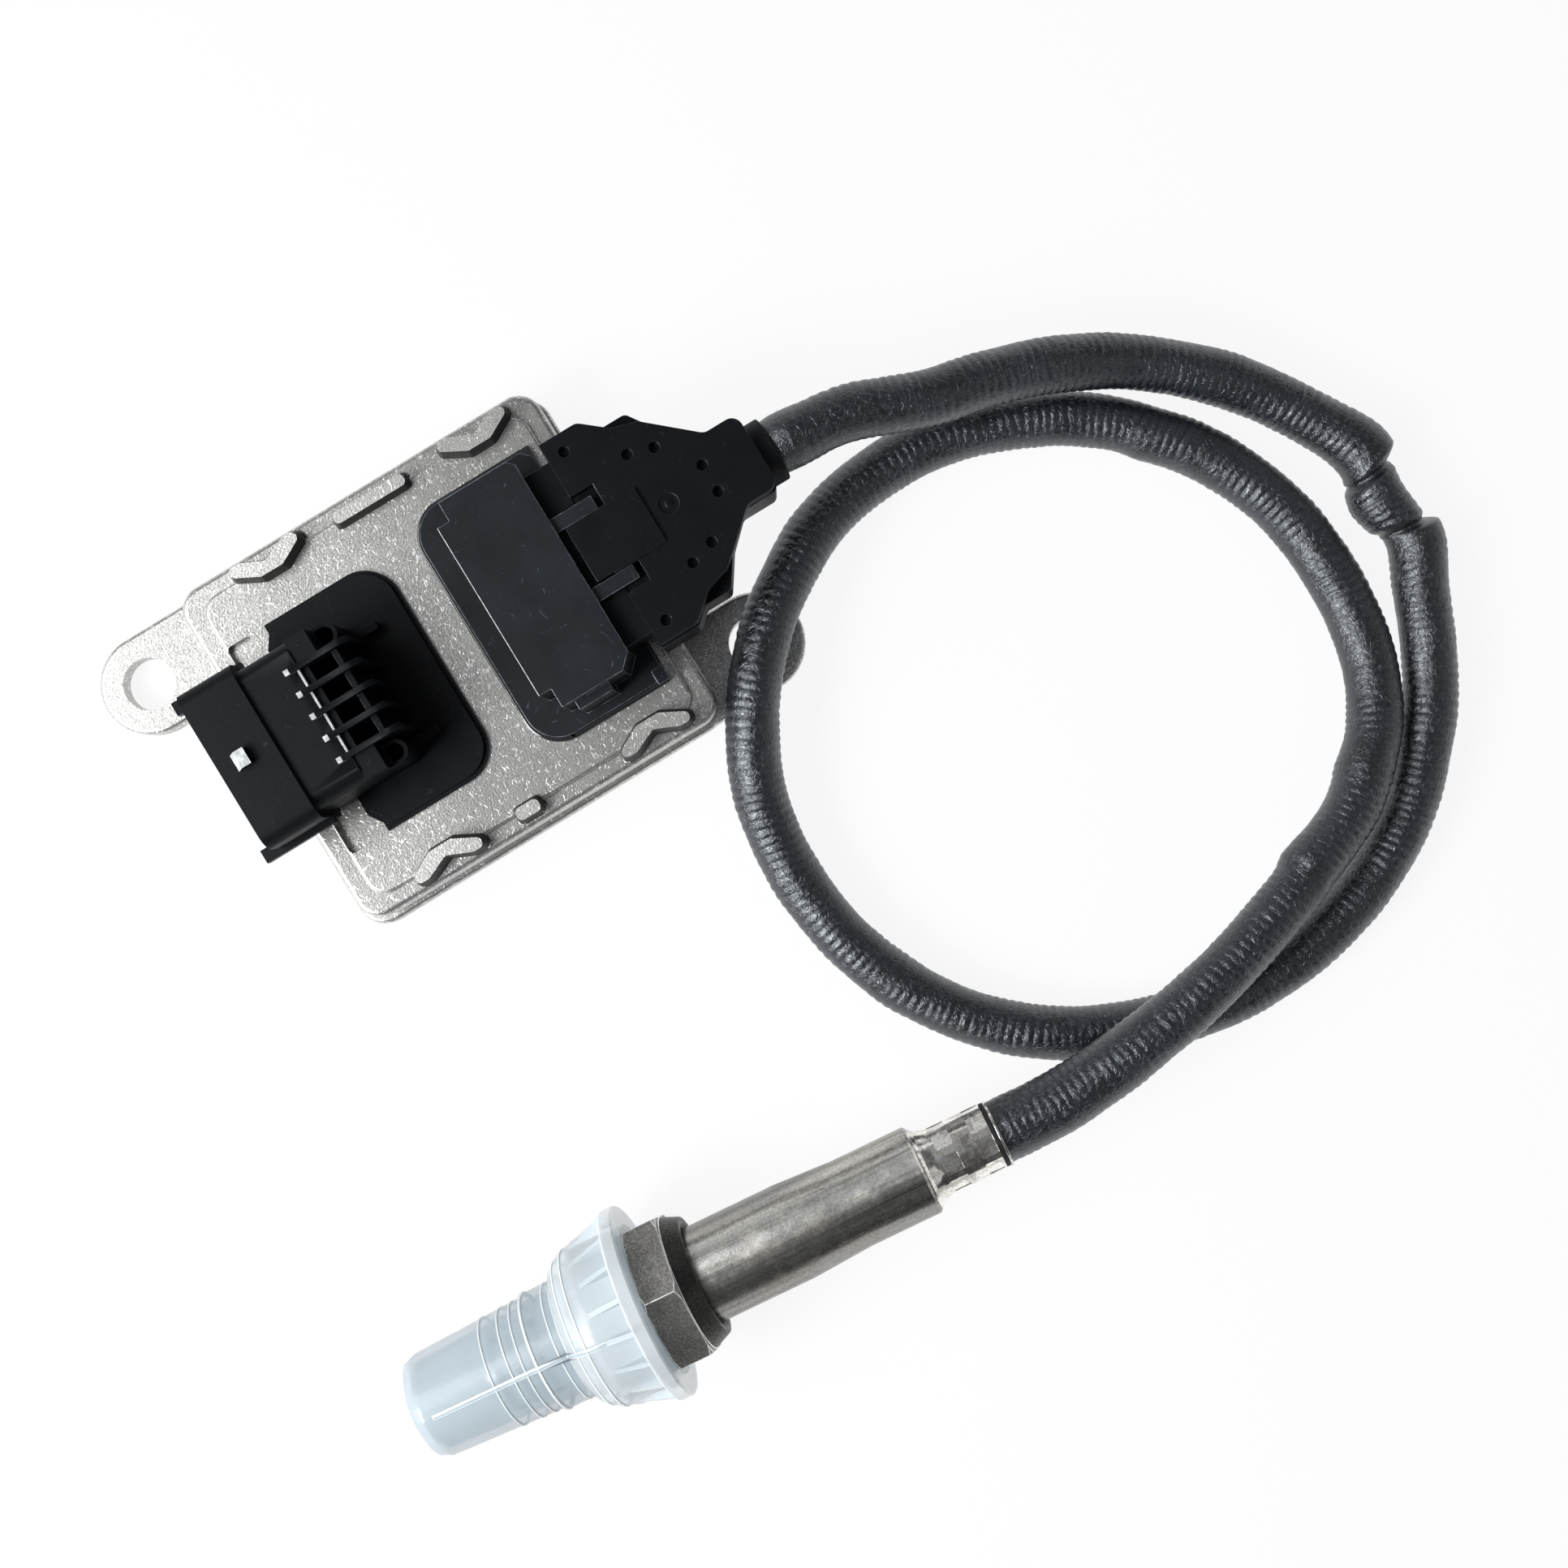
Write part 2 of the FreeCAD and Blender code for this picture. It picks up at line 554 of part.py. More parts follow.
def plate_layer(inset, bottom, top):
    """One layer of the vehicle connector's plate: stepped corners at the left, round ones at the right."""
    body = new_body("Plate")
    sketch = new_sketch(body, height=bottom)
    left = S.plate_left + inset
    half = S.plate_half_width - inset
    step = left + S.plate_step
    low = half - S.plate_step
    lowest = low - S.plate_slant
    right = S.plate_right - inset
    outline(sketch, [
        (left, -lowest), (step, -low), (step, -half), (right, -half),
        (right, half), (step, half), (step, low), (left, lowest),
    ])
    pad(body, sketch, top - bottom)

    def right_corner(middle, ends, edge):
        return upright(middle, ends, edge) and middle.x > S.plate_right.value - 2 * S.plate_lip.value

    return rounded(body, S.plate_round - inset, right_corner)


def build_vehicle_connector():
    """Five-way connector facing away from the plug, with its plate, shroud, fins and pockets."""
    plate_top = S.top_height + S.plate_thickness
    back_half = S.back_half_width
    back_top = S.shroud_top - S.back_step
    parts = [
        plate_layer(as_size(0), S.top_height, S.top_height + S.plate_thickness / 2),
        plate_layer(S.plate_lip, S.top_height, plate_top),
        box((S.neck_left, S.neck_right), (-S.neck_half_width, S.neck_half_width),
            (S.neck_bottom, S.top_height)),
        rounded(box((S.mouth_x, S.shroud_step), (-S.shroud_half_width, S.shroud_half_width),
                    (S.shroud_bottom, S.shroud_top)), S.shroud_corner, along),
        rounded(box((S.shroud_step, S.back_end), (-back_half, back_half), (S.shroud_bottom, back_top)),
                S.shroud_corner, along),
        box((S.plate_left + S.plate_lip, S.back_end), (-back_half, back_half),
            (plate_top, S.shroud_bottom + S.shroud_corner + S.shroud_wall)),
    ]
    half = (FINS - 1) / 2 * S.fin_pitch
    fin_edge = half + S.fin_thickness / 2
    hollows = []
    for side in (-1, 1):
        outer = side * S.shroud_half_width
        rail = (outer, outer + S.guide_rise) if side > 0 else (outer - S.guide_rise, outer)
        rail = (rail[0] - S.guide_thickness, rail[1]) if side > 0 else (rail[0], rail[1] + S.guide_thickness)
        parts.append(box((S.mouth_x - S.guide_reach, S.shroud_step), rail,
                         (S.guide_z - S.guide_height / 2, S.guide_z + S.guide_height / 2)))
        cheek = (fin_edge, back_half) if side > 0 else (-back_half, -fin_edge)
        parts.append(box((S.back_end, S.cheek_end), cheek, (plate_top, back_top - S.cheek_drop)))
        parts.append(centred((S.cheek_end + S.rib_end) / 2, side * S.rib_y, S.rib_end - S.cheek_end,
                             S.rib_thickness, plate_top, S.rib_height))
        parts.append(post(side * S.post_y, S.post, plate_top, S.post_top))
        hollows.append(post(side * S.post_y, S.post - S.post_wall, S.post_top - S.post_depth, S.post_top))
    nub = new_body("Nub")
    sketch = new_sketch(nub, "XZ_Plane", -S.nub_width / 2)
    nub_top = S.shroud_top + S.nub_height
    outline(sketch, [(S.nub_front, back_top), (S.nub_rear, back_top), (S.nub_rear, nub_top),
                     (S.nub_front + S.nub_height, nub_top)])
    pad(nub, sketch, S.nub_width)
    parts.append(nub)
    for across in row(FINS):
        parts.append(fin(across * S.fin_pitch, plate_top))
    for front, rear in ((S.back_end, S.wall_one), (S.wall_two, S.wall_two + S.fin_thickness)):
        parts.append(box((front, rear), (-half, half), (plate_top, S.fin_top - S.wall_drop)))
    inner = back_half - S.shroud_wall
    cavity = rounded(box((S.mouth_x, S.cavity_end), (-inner, inner),
                         (S.shroud_bottom + S.shroud_wall, S.shroud_top - S.shroud_wall)),
                     S.cavity_corner, along)
    tunnels = [bent_pin(S.pin_tip, S.pin_leg, y, S.pin_z, S.neck_bottom - S.over, S.pin_width,
                        S.pin_thickness, S.pin_fit) for y in vehicle_pin_rows()]
    finish(cut(fuse(*parts), cavity, *hollows, *tunnels), "vehicle_connector")
    pins = [bent_pin(S.pin_tip, S.pin_leg, y, S.pin_z, S.pin_foot, S.pin_width, S.pin_thickness)
            for y in vehicle_pin_rows()]
    finish(group(*pins), "vehicle_pins")
    finish(frame_of(S.neck_left - S.seal_width, S.neck_right + S.seal_width, S.neck_half_width + S.seal_width,
                    S.seal_width - S.seal_fit, S.top_height - S.seal_height, S.top_height), "vehicle_seal")


def post(y, radius, bottom, top):
    """An upright with a flat side at the cheek and a round side away from it."""
    return fuse(cylinder(S.post_x, y, bottom, radius, top - bottom),
                box((S.cheek_end + S.post - radius, S.post_x), (y - radius, y + radius), (bottom, top)))


def fin(y, bottom):
    """An upright web behind the connector, rounded off down to its plate."""
    body = new_body("Fin")
    sketch = new_sketch(body, "XZ_Plane", -y - S.fin_thickness / 2)
    outline(sketch, [(S.fin_front, bottom), (S.fin_rear, bottom), (S.fin_rear, S.fin_top),
                     (S.fin_front, S.fin_top)])
    pad(body, sketch, S.fin_thickness)

    def rear_top(middle, ends, edge):
        return middle.x > S.fin_rear.value - 0.1 and middle.z > S.fin_top.value - 0.1

    return rounded(body, S.fin_round, rear_top)


def build_header():
    """Socket that the sensor plug is locked in, with its glossy sealing rim."""
    base = S.top_height + S.rim_height
    plate_top = base + S.header_plate_thickness
    rim = rounded(box((S.rim_left, S.rim_right), (-S.rim_half_width, S.rim_half_width), (S.top_height, base)),
                  S.rim_round, left_corner)
    opening = window(S.header_neck_left, S.header_neck_right, S.header_neck_half_width, S.neck_gap,
                     S.top_height - S.over, base + S.over)
    finish(cut(rim, opening), "header_seal")
    inset = S.header_plate_inset
    low = -S.rim_half_width + inset
    right = S.rim_right - inset / 2
    left = S.rim_left + inset
    slab = new_body("Slab")
    sketch = new_sketch(slab, height=base)
    outline(sketch, [(left, low), (right, low), (right, -low - S.rim_cut), (right - S.rim_cut, -low),
                     (left, -low)])
    pad(slab, sketch, S.header_plate_thickness)
    plate = rounded(slab, S.rim_round - inset, left_corner)
    neck = box((S.header_neck_left, S.header_neck_right),
               (-S.header_neck_half_width, S.header_neck_half_width), (S.neck_bottom, base))
    body = new_body("Block")
    sketch = new_sketch(body, height=plate_top)
    half = S.block_half_width
    notched = S.block_left + S.block_notch
    shoulder = half - S.block_shoulder
    corner = S.block_corner
    outline(sketch, [
        (notched, -half), (S.block_right - corner, -half), (S.block_right, -half + corner),
        (S.block_right, half - corner / 2), (S.block_right - corner / 2, half), (notched, half),
        (notched, shoulder), (S.block_left, shoulder), (S.block_left, -shoulder), (notched, -shoulder),
    ])
    pad(body, sketch, S.block_top - plate_top)
    parts = [plate, neck, body]
    prong_top = S.block_top - S.prong_drop
    for side in (-1, 1):
        y = side * S.prong_y
        parts.append(box((S.socket_end, S.prong_reach), (y - S.prong_width / 2, y + S.prong_width / 2),
                         (prong_top - S.prong_thickness, prong_top)))
    parts.append(box((S.ledge_left, S.ledge_right), (-half - S.ledge_reach, -half + S.ledge_reach),
                     (plate_top, S.block_top - S.ledge_drop)))
    parts.append(box((S.rim_right - S.hook_length, S.rim_right),
                     (low - S.hook_reach, low + S.hook_length), (base, plate_top + S.hook_rise)))
    socket = box((S.socket_end, S.block_right + S.over), (-S.socket_half_width, S.socket_half_width),
                 (S.socket_bottom, S.socket_top))
    tunnels = [bent_pin(S.needle_tip, S.needle_leg, y, S.needle_z, S.neck_bottom - S.over, S.needle,
                        S.needle, S.pin_fit) for y in needle_rows()]
    finish(cut(fuse(*parts), socket, *tunnels), "sensor_header")
    needles = [bent_pin(S.needle_tip, S.needle_leg, y, S.needle_z, S.pin_foot, S.needle, S.needle)
               for y in needle_rows()]
    finish(group(*needles), "header_pins")


def left_corner(middle, ends, edge):
    """True on the upright corners at the left of the sensor header."""
    return upright(middle, ends, edge) and middle.x < S.rim_left.value + 2 * S.header_plate_inset.value


def cover_outline():
    """Half outline of the plug's cover from its wide front to its narrow neck."""
    return [
        (S.fan_left, S.fan_half_width), (S.shoulder_x, S.fan_half_width),
        (S.waist_x, S.waist_half_width), (S.hip_x, S.hip_half_width), (S.neck_x, S.neck_half),
        (S.fan_right, S.neck_half),
    ]


def body_outline():
    """Half outline of the plug's lower body, which stands out at the hip."""
    return [
        (S.fan_left, S.lower_half_width), (S.shoulder_x, S.lower_half_width),
        (S.lower_waist_x, S.lower_hip), (S.lower_hip_x, S.lower_hip), (S.lower_taper_x, S.lower_taper),
        (S.lower_neck_x, S.lower_neck), (S.fan_right, S.lower_neck),
    ]


def fan(half, bottom, top, round_off):
    """A slab from a half outline, its corners behind the front rounded."""
    body = new_body("Fan")
    sketch = new_sketch(body, height=bottom)
    outline(sketch, half + [(x, -y) for x, y in reversed(half)])
    pad(body, sketch, top - bottom)

    def behind_front(middle, ends, edge):
        return upright(middle, ends, edge) and middle.x > S.fan_left.value + S.over.value

    return rounded(body, round_off, behind_front)


def build_plug():
    """Fan-shaped plug: lower body with its nose, upper cover, terminals and the collar at the cable."""
    nose_half = S.socket_half_width - S.nose_gap
    floor = S.socket_bottom + S.nose_gap
    nose = box((S.nose_left, S.waist_x), (-nose_half, nose_half), (floor, S.plug_split))
    nose_top = box((S.nose_left, S.fan_left), (-nose_half, nose_half),
                   (S.plug_split, S.socket_top - S.nose_gap))
    tunnels = []
    terminals = []
    for y in needle_rows():
        wide = S.terminal / 2 + S.terminal_fit
        tunnels.append(box((S.nose_left - S.over, S.terminal_right + S.terminal_fit), (y - wide, y + wide),
                           (S.needle_z - wide, S.needle_z + wide)))
        half = S.terminal / 2
        shell = box((S.terminal_left, S.terminal_right), (y - half, y + half),
                    (S.needle_z - half, S.needle_z + half))
        bore = S.terminal_hole / 2
        hole = box((S.terminal_left - S.over, S.terminal_right - S.over), (y - bore, y + bore),
                   (S.needle_z - bore, S.needle_z + bore))
        terminals.append(cut(shell, hole))
    length = S.fan_right - S.collar_start + S.over
    seat = cylinder(S.collar_start, 0, S.exit_z, S.collar_radius, length, ALONG_X)
    lower = fan(body_outline(), S.fan_bottom, S.plug_split, S.lower_round)
    finish(cut(fuse(lower, nose, nose_top), seat, *tunnels), "plug_body")
    finish(group(*terminals), "plug_terminals")
    cover = fan(cover_outline(), S.plug_split, S.fan_top, S.fan_round)
    tongue = box((S.tongue_left, S.tongue_right), (-S.tongue_half_width, S.tongue_half_width),
                 (S.socket_top, S.fan_top + S.tongue_rise))
    tools = [cylinder(S.collar_start, 0, S.exit_z, S.collar_radius, length, ALONG_X)]
    for side in (-1, 1):
        tools.append(box((S.fan_left - S.over, S.notch_right),
                         (side * S.notch_y - S.notch_width / 2, side * S.notch_y + S.notch_width / 2),
                         (S.fan_top - S.notch_depth, S.fan_top + S.over)))
        for x, across in ((S.fan_left + S.dimple_inset, S.fan_half_width - S.dimple_inset),
                          (S.waist_x, S.waist_half_width - S.dimple_edge),
                          (S.hip_x, S.hip_half_width - S.dimple_edge),
                          (S.neck_x - S.dimple_inset, S.neck_half - S.dimple_neck)):
            tools.append(cylinder(x, side * across, S.fan_top - S.dimple_depth, S.dimple, S.dimple_depth))
    gate = S.fan_top - S.gate_depth
    tools.append(cut(cylinder(S.gate_x, 0, gate, S.gate_mark, S.gate_depth),
                     cylinder(S.gate_x, 0, gate, S.gate_dot, S.gate_depth)))
    finish(cut(fuse(cover, tongue), *tools), "plug_cover")
    collar = cylinder(S.collar_start, 0, S.exit_z, S.collar_radius, S.cable_start - S.collar_start, ALONG_X)
    finish(collar, "plug_collar")


# The cable's route over the floor: out of the plug, once round to the right, over the housing's ear,
# round again inside the first turn and over it to the sensor
ROUTE = [
    (83.8, -5.1, 18.4), (103.6, -8.7, 13.6), (121.8, -17.7, 7.6), (136.4, -32.2, 4.6), (144.2, -50.7, 4.6),
    (142.0, -71.2, 4.6), (130.5, -90.6, 4.6), (114.0, -105.8, 4.6), (90.9, -112.6, 4.6), (67.2, -110.1, 4.6),
    (45.4, -98.1, 4.6), (31.6, -77.3, 4.6), (28.8, -52.5, 5.2), (35.0, -34.2, 9.6), (49.4, -18.2, 9.6),
    (68.9, -8.8, 5.4), (91.1, -10.2, 4.6), (112.6, -21.5, 4.6), (126.8, -42.3, 4.6), (129.6, -64.0, 4.8),
    (125.3, -81.4, 6.4), (115.1, -92.7, 9.6), (100.3, -99.1, 12.6), (85.6, -103.7, 14.8),
    (71.5, -106.9, 15.9), (57.9, -108.5, 16.0),
]
# Straight lengths of cable at the plug and at the sensor
PLUG_RUN = 10.0
SENSOR_RUN = 11.0


def on_axis(distance):
    """A point on the sensor's axis, in the frame of the whole part."""
    turn = math.radians(S.axis_turn.value)
    return Vector(S.axis_x.value + distance * math.cos(turn), S.axis_y.value + distance * math.sin(turn),
                  S.cap_flange.value)


def rounded_path(points):
    """Straight runs joined by tangent arcs, each as large as its runs allow."""
    edges = []
    start = points[0]
    for before, corner, after in zip(points, points[1:], points[2:]):
        back = before - corner
        ahead = after - corner
        reach = 0.45 * min(back.Length, ahead.Length)
        half_turn = (math.pi - back.getAngle(ahead)) / 2
        radius = reach / math.tan(half_turn)
        print("radius %.1f mm, turn %.0f degrees" % (radius, math.degrees(2 * half_turn)))
        back.normalize()
        ahead.normalize()
        inward = back + ahead
        inward.normalize()
        first = corner + back * reach
        last = corner + ahead * reach
        middle = corner + inward * (math.hypot(radius, reach) - radius)
        edges.append(Part.LineSegment(start, first).toShape())
        edges.append(Part.Arc(first, middle, last).toShape())
        start = last
    edges.append(Part.LineSegment(start, points[-1]).toShape())
    return Part.Wire(edges)


def build_cable():
    """The cable, a plain tube from the plug's collar to the sensor."""
    radius = S.cable_diameter.value / 2
    sensor_end = (S.tail_end + S.grommet_lip + S.ring_width).value
    start = Vector(S.cable_start.value, 0, S.exit_z.value)
    points = [start, start + Vector(PLUG_RUN, 0, 0)]
    points += [Vector(*point) for point in ROUTE]
    points += [on_axis(sensor_end + SENSOR_RUN), on_axis(sensor_end)]
    path = rounded_path(points)
    section = Part.Wire([Part.Circle(start, Vector(1, 0, 0), radius).toShape()])
    tube = path.makePipeShell([section], True, False)
    filled = tube.Volume / (math.pi * radius ** 2 * path.Length)
    print("cable length %.0f mm, volume over section times length %.4f" % (path.Length, filled))
    obj = doc.addObject("Part::Feature", "Cable")
    obj.Shape = tube
    finish(obj, "cable")


def build_nut():
    """Gland nut: male thread in front, hexagon, and a turned end that clears the sleeve."""
    corner = S.hex_flats / math.sqrt(3)
    body = new_body("Nut")
    bevel = S.hex_chamfer
    bore = S.nut_bore
    thread = S.thread_radius
    edge = S.bore_chamfer
    root = thread - S.relief_depth
    turned(body, [
        (-S.thread_length, bore + edge), (-S.thread_length, thread - S.thread_chamfer),
        (S.thread_chamfer - S.thread_length, thread), (-S.relief_length, thread),
        (S.relief_depth - S.relief_length, root), (as_size(0), root),
        (as_size(0), corner - bevel), (bevel * 0.6, corner), (S.hex_length - bevel * 0.6, corner),
        (S.hex_length, corner - bevel), (S.hex_length, S.nut_end_radius + S.nut_end_flare),
        (S.nut_end, S.nut_end_radius), (S.nut_end, bore + edge), (S.nut_end - edge, bore),
        (edge - S.thread_length, bore),
    ])
    sketch = new_sketch(body, "YZ_Plane")
    flat = S.hex_flats / 2
    hexagon = [(as_size(0), corner), (-flat, corner / 2), (-flat, -corner / 2), (as_size(0), -corner),
               (flat, -corner / 2), (flat, corner / 2)]
    outline(sketch, hexagon)
    disc(sketch, 0, 0, corner * 1.2)
    pocket(body, sketch, S.hex_length, reverse=True)
    finish(body, "gland_nut", on_probe=True)


def ring_pattern(body, feature, count):
    """Copies of a feature spread evenly round the body's X axis."""
    pattern = body.newObject("PartDesign::PolarPattern", "Ring")
    pattern.Originals = [feature]
    pattern.Axis = ([f for f in body.Origin.OriginFeatures if f.Role == "X_Axis"][0], [""])
    pattern.Angle = 360.0
    bind(pattern, Occurrences=count)
    body.Tip = pattern


def build_sensor():
    """The sensor: seat, sleeve, crimped tail, grommet and everything held inside them."""
    body = new_body("Seat")
    outer = S.nut_bore - S.nut_clearance
    core = outer - S.core_inset
    seat_front = -S.thread_length - S.seat_length
    seat_rear = -S.thread_length - S.seat_gap
    inside = S.bush_radius + S.bush_gap
    mouth = inside - S.seat_bore
    turned(body, [
        (seat_front, mouth), (seat_front, S.seat_radius - S.seat_cone),
        (seat_front + S.seat_cone, S.seat_radius), (seat_rear, S.seat_radius), (seat_rear, core),
        (S.hex_length, core), (S.hex_length, inside),
        (seat_front + S.seat_lip, inside), (seat_front + S.seat_lip, mouth),
    ])
    finish(body, "sensor_body", on_probe=True)

    body = new_body("Sleeve")
    wall = S.sleeve_wall
    edge = S.sleeve_edge
    step = S.hex_length + S.sleeve_step
    turned(body, [
        (-S.thread_length, core + S.core_fit), (-S.thread_length, outer), (S.sleeve_taper_start, outer),
        (S.sleeve_taper_end, S.sleeve_rear), (S.sleeve_end - edge, S.sleeve_rear),
        (S.sleeve_end, S.sleeve_rear - edge), (S.sleeve_end, S.sleeve_rear - wall),
        (S.sleeve_taper_end, S.sleeve_rear - wall), (S.sleeve_taper_start, outer - wall),
        (step, outer - wall), (step, core + S.core_fit),
    ])
    finish(body, "sensor_sleeve", on_probe=True)

    body = new_body("Tail")
    front = S.sleeve_rear - wall - S.sleeve_fit
    tail_wall = S.tail_wall
    bend = tail_wall
    turned(body, [
        (S.tail_start, front - tail_wall), (S.tail_start, front), (S.tail_shoulder, front),
        (S.tail_shoulder + bend, front - bend), (S.tail_neck - bend, S.tail_radius + bend / 4),
        (S.tail_neck, S.tail_radius), (S.tail_end, S.tail_radius), (S.tail_end, S.tail_radius - tail_wall),
        (S.tail_neck, S.tail_radius - tail_wall), (S.tail_shoulder, front - tail_wall - bend / 2),
        (S.tail_shoulder - bend, front - tail_wall),
    ])
    for place_x in (S.crimp_one, S.crimp_two):
        sketch = new_sketch(body, "XY_Plane", S.tail_radius - S.crimp_depth)
        outline(sketch, rectangle(place_x, place_x + S.crimp_length, S.crimp_width / 2))
        ring_pattern(body, pocket(body, sketch, S.over, reverse=True), S.crimp_count)
    finish(body, "crimped_tail", on_probe=True)

    body = new_body("Grommet")
    lip = S.tail_end + S.grommet_lip
    plug = S.tail_radius - tail_wall - S.sleeve_fit
    face = S.tail_radius - S.ring_step
    turned(body, [
        (S.grommet_start, as_size(0)), (S.grommet_start, plug), (S.tail_end, plug), (S.tail_end, face),
        (lip, face), (lip, as_size(0)),
    ])
    finish(cut(body, *wires(S.grommet_start - S.over, lip + S.over, S.wire_fit)), "cable_grommet",
           on_probe=True)
    ring = cut(cylinder(lip, 0, 0, S.tail_radius + S.ring_step, S.ring_width, ALONG_X),
               cylinder(lip, 0, 0, S.wire_ring + S.wire_radius + S.ring_gap, S.ring_width, ALONG_X))
    finish(ring, "retaining_ring", on_probe=True)


def wires(start, end, grow=0):
    """Straight cores round the axis between two distances."""
    cores = []
    for i in range(CORES):
        turn = math.tau * (i + 0.5) / CORES
        cores.append(cylinder(start, S.wire_ring * math.cos(turn), S.wire_ring * math.sin(turn),
                              S.wire_radius + grow, end - start, ALONG_X))
    return cores


def protection_tube(name, front, end, radius, wall, hole_rows):
    """A drawn tube with a rounded, open end and rings of gas holes."""
    body = new_body("Tube")
    bend = S.shield_round
    corner = bend * (1 - math.sqrt(0.5))
    inner_corner = corner + wall * (1 - math.sqrt(0.5))
    turned(body, [
        (front, radius - wall), (front, radius), (end + bend, radius), (end + corner, radius - corner),
        (end, radius - bend), (end, S.shield_mouth), (end + wall, S.shield_mouth),
        (end + wall, radius - bend),
        (end + inner_corner + wall / 2, radius - inner_corner - wall / 2), (end + bend, radius - wall),
    ])
    for distance in hole_rows:
        sketch = new_sketch(body, "XY_Plane", 0)
        disc(sketch, end + distance, 0, S.shield_hole)
        ring_pattern(body, pocket(body, sketch, radius + S.over, reverse=True), S.shield_hole_count)
    finish(body, name, on_probe=True)


def build_core():
    """Inner works of the sensor: protection tubes, ceramic strip, bushes, contacts and cores."""
    seat_front = -S.thread_length - S.seat_length
    protection_tube("outer_protection_tube", seat_front, S.shield_end, S.shield_radius, S.shield_wall,
                    (S.outer_holes_one, S.outer_holes_two))
    protection_tube("inner_protection_tube", seat_front, S.inner_end, S.inner_radius, S.inner_wall,
                    (S.inner_holes,))
    strip = new_body("Strip")
    sketch = new_sketch(strip, height=-S.strip_thickness / 2)
    outline(sketch, rectangle(S.strip_tip, S.strip_rear, S.strip_width / 2))
    pad(strip, sketch, S.strip_thickness)
    finish(strip, "sensing_element", on_probe=True)
    wide = S.strip_width / 2 + S.strip_gap
    thin = S.strip_thickness / 2 + S.strip_gap
    for name, front, rear in (("front_insulator", seat_front + S.seat_lip, S.bush_split_one),
                              ("powder_seal", S.bush_split_one, S.bush_split_two),
                              ("rear_insulator", S.bush_split_two, S.bush_rear)):
        bush = cylinder(front, 0, 0, S.bush_radius, rear - front, ALONG_X)
        slot = box((front - S.over, rear + S.over), (-wide, wide), (-thin, thin))
        finish(cut(bush, slot), name, on_probe=True)

    deep = thin + S.clip_thickness
    holder = cylinder(S.holder_front, 0, 0, S.holder_radius, S.holder_rear - S.holder_front, ALONG_X)
    slot = box((S.holder_front - S.over, S.holder_rear + S.over), (-wide, wide), (-deep, deep))
    finish(cut(holder, slot), "contact_holder", on_probe=True)
    clips = []
    for side in (-1, 1):
        low = S.strip_thickness / 2 if side > 0 else -S.strip_thickness / 2 - S.clip_thickness
        for i in (-1, 0, 1):
            y = i * S.clip_pitch
            clips.append(box((S.holder_front + S.clip_inset, S.holder_rear),
                             (y - S.clip_width / 2, y + S.clip_width / 2), (low, low + S.clip_thickness)))
    finish(group(*clips), "contact_clips", on_probe=True)
    finish(group(*wires(S.holder_rear, S.tail_end + S.grommet_lip)), "lead_cores", on_probe=True)


def build_cap():
    """Protective cap of soft clear plastic, pushed on the thread up to the nut's hexagon."""
    body = new_body("Cap")
    wall = S.cap_wall
    end = S.cap_end
    tip = S.cap_tip_radius
    bend = S.cap_end_round
    corner = bend * (1 - math.sqrt(0.5))
    tube = S.cap_body_radius
    swell = S.dome_radius - tube
    span = S.dome_end - S.dome_start
    grip = S.thread_radius + S.skirt_fit
    start = S.dome_start
    edge = S.cap_edge
    step = S.cap_step + S.cap_step_length
    floor = as_size(0)
    turned(body, [
        (end, floor), (end, tip - bend), (end + corner, tip - corner), (end + bend, tip),
        (S.cap_step, S.cap_step_radius), (step, tube), (start, tube),
        (start + span * 0.13, tube + swell * 0.38), (start + span * 0.5, tube + swell * 0.78),
        (S.dome_end, S.dome_radius), (S.rim_front, S.dome_radius), (S.rim_front, S.cap_flange - edge),
        (S.rim_front + edge, S.cap_flange), (-edge, S.cap_flange), (floor, S.cap_flange - edge),
        (floor, S.dome_radius - wall), (-S.skirt_depth, S.dome_radius - wall),
        (-S.skirt_depth, S.skirt_radius), (floor, S.skirt_radius), (floor, grip),
        (-S.thread_length - S.skirt_gap, grip),
        (start, tube - edge / 3), (start, tube - wall), (step, tube - wall),
        (S.cap_step, S.cap_step_radius - wall), (end + bend, tip - wall),
        (end + wall, tip - bend), (end + wall, floor),
    ])
    sketch = new_sketch(body, "XZ_Plane", -S.gusset_thickness / 2)
    low = S.dome_radius - S.gusset_root
    foot = S.rim_front + S.gusset_root
    outline(sketch, [(S.rim_front - S.gusset_length, low), (foot, low), (foot, S.cap_flange - edge),
                     (S.rim_front, S.cap_flange - edge), (S.rim_front - S.gusset_length, S.dome_radius)])
    ring_pattern(body, pad(body, sketch, S.gusset_thickness), S.gusset_count)
    finish(body, "protective_cap", on_probe=True)


build_housing()
build_base()
build_vehicle_connector()
build_header()
build_plug()
build_cable()
build_nut()
build_sensor()
build_core()
build_cap()
doc.recompute()

problems = []
for obj in doc.Objects:
    if "Invalid" in obj.State or "Error" in obj.State:
        problems.append("%s (%s) is in state %s" % (obj.Name, obj.Label, obj.State))
for obj in made:
    if obj.Shape.isNull() or not obj.Shape.isValid() or not obj.Shape.Solids:
        problems.append("%s has no valid solid" % obj.Label)
if problems:
    raise RuntimeError("; ".join(problems))

os.makedirs("parts", exist_ok=True)
for obj in made:
    obj.Shape.exportStep("parts/%s.step" % obj.Label)
    print("%s: %d solids, %.1f mm3" % (obj.Label, len(obj.Shape.Solids), obj.Shape.Volume))
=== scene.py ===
"""Exhaust nitrogen oxide sensor: control unit, cable and capped probe, dressed over its CAD frame."""
import json
import math

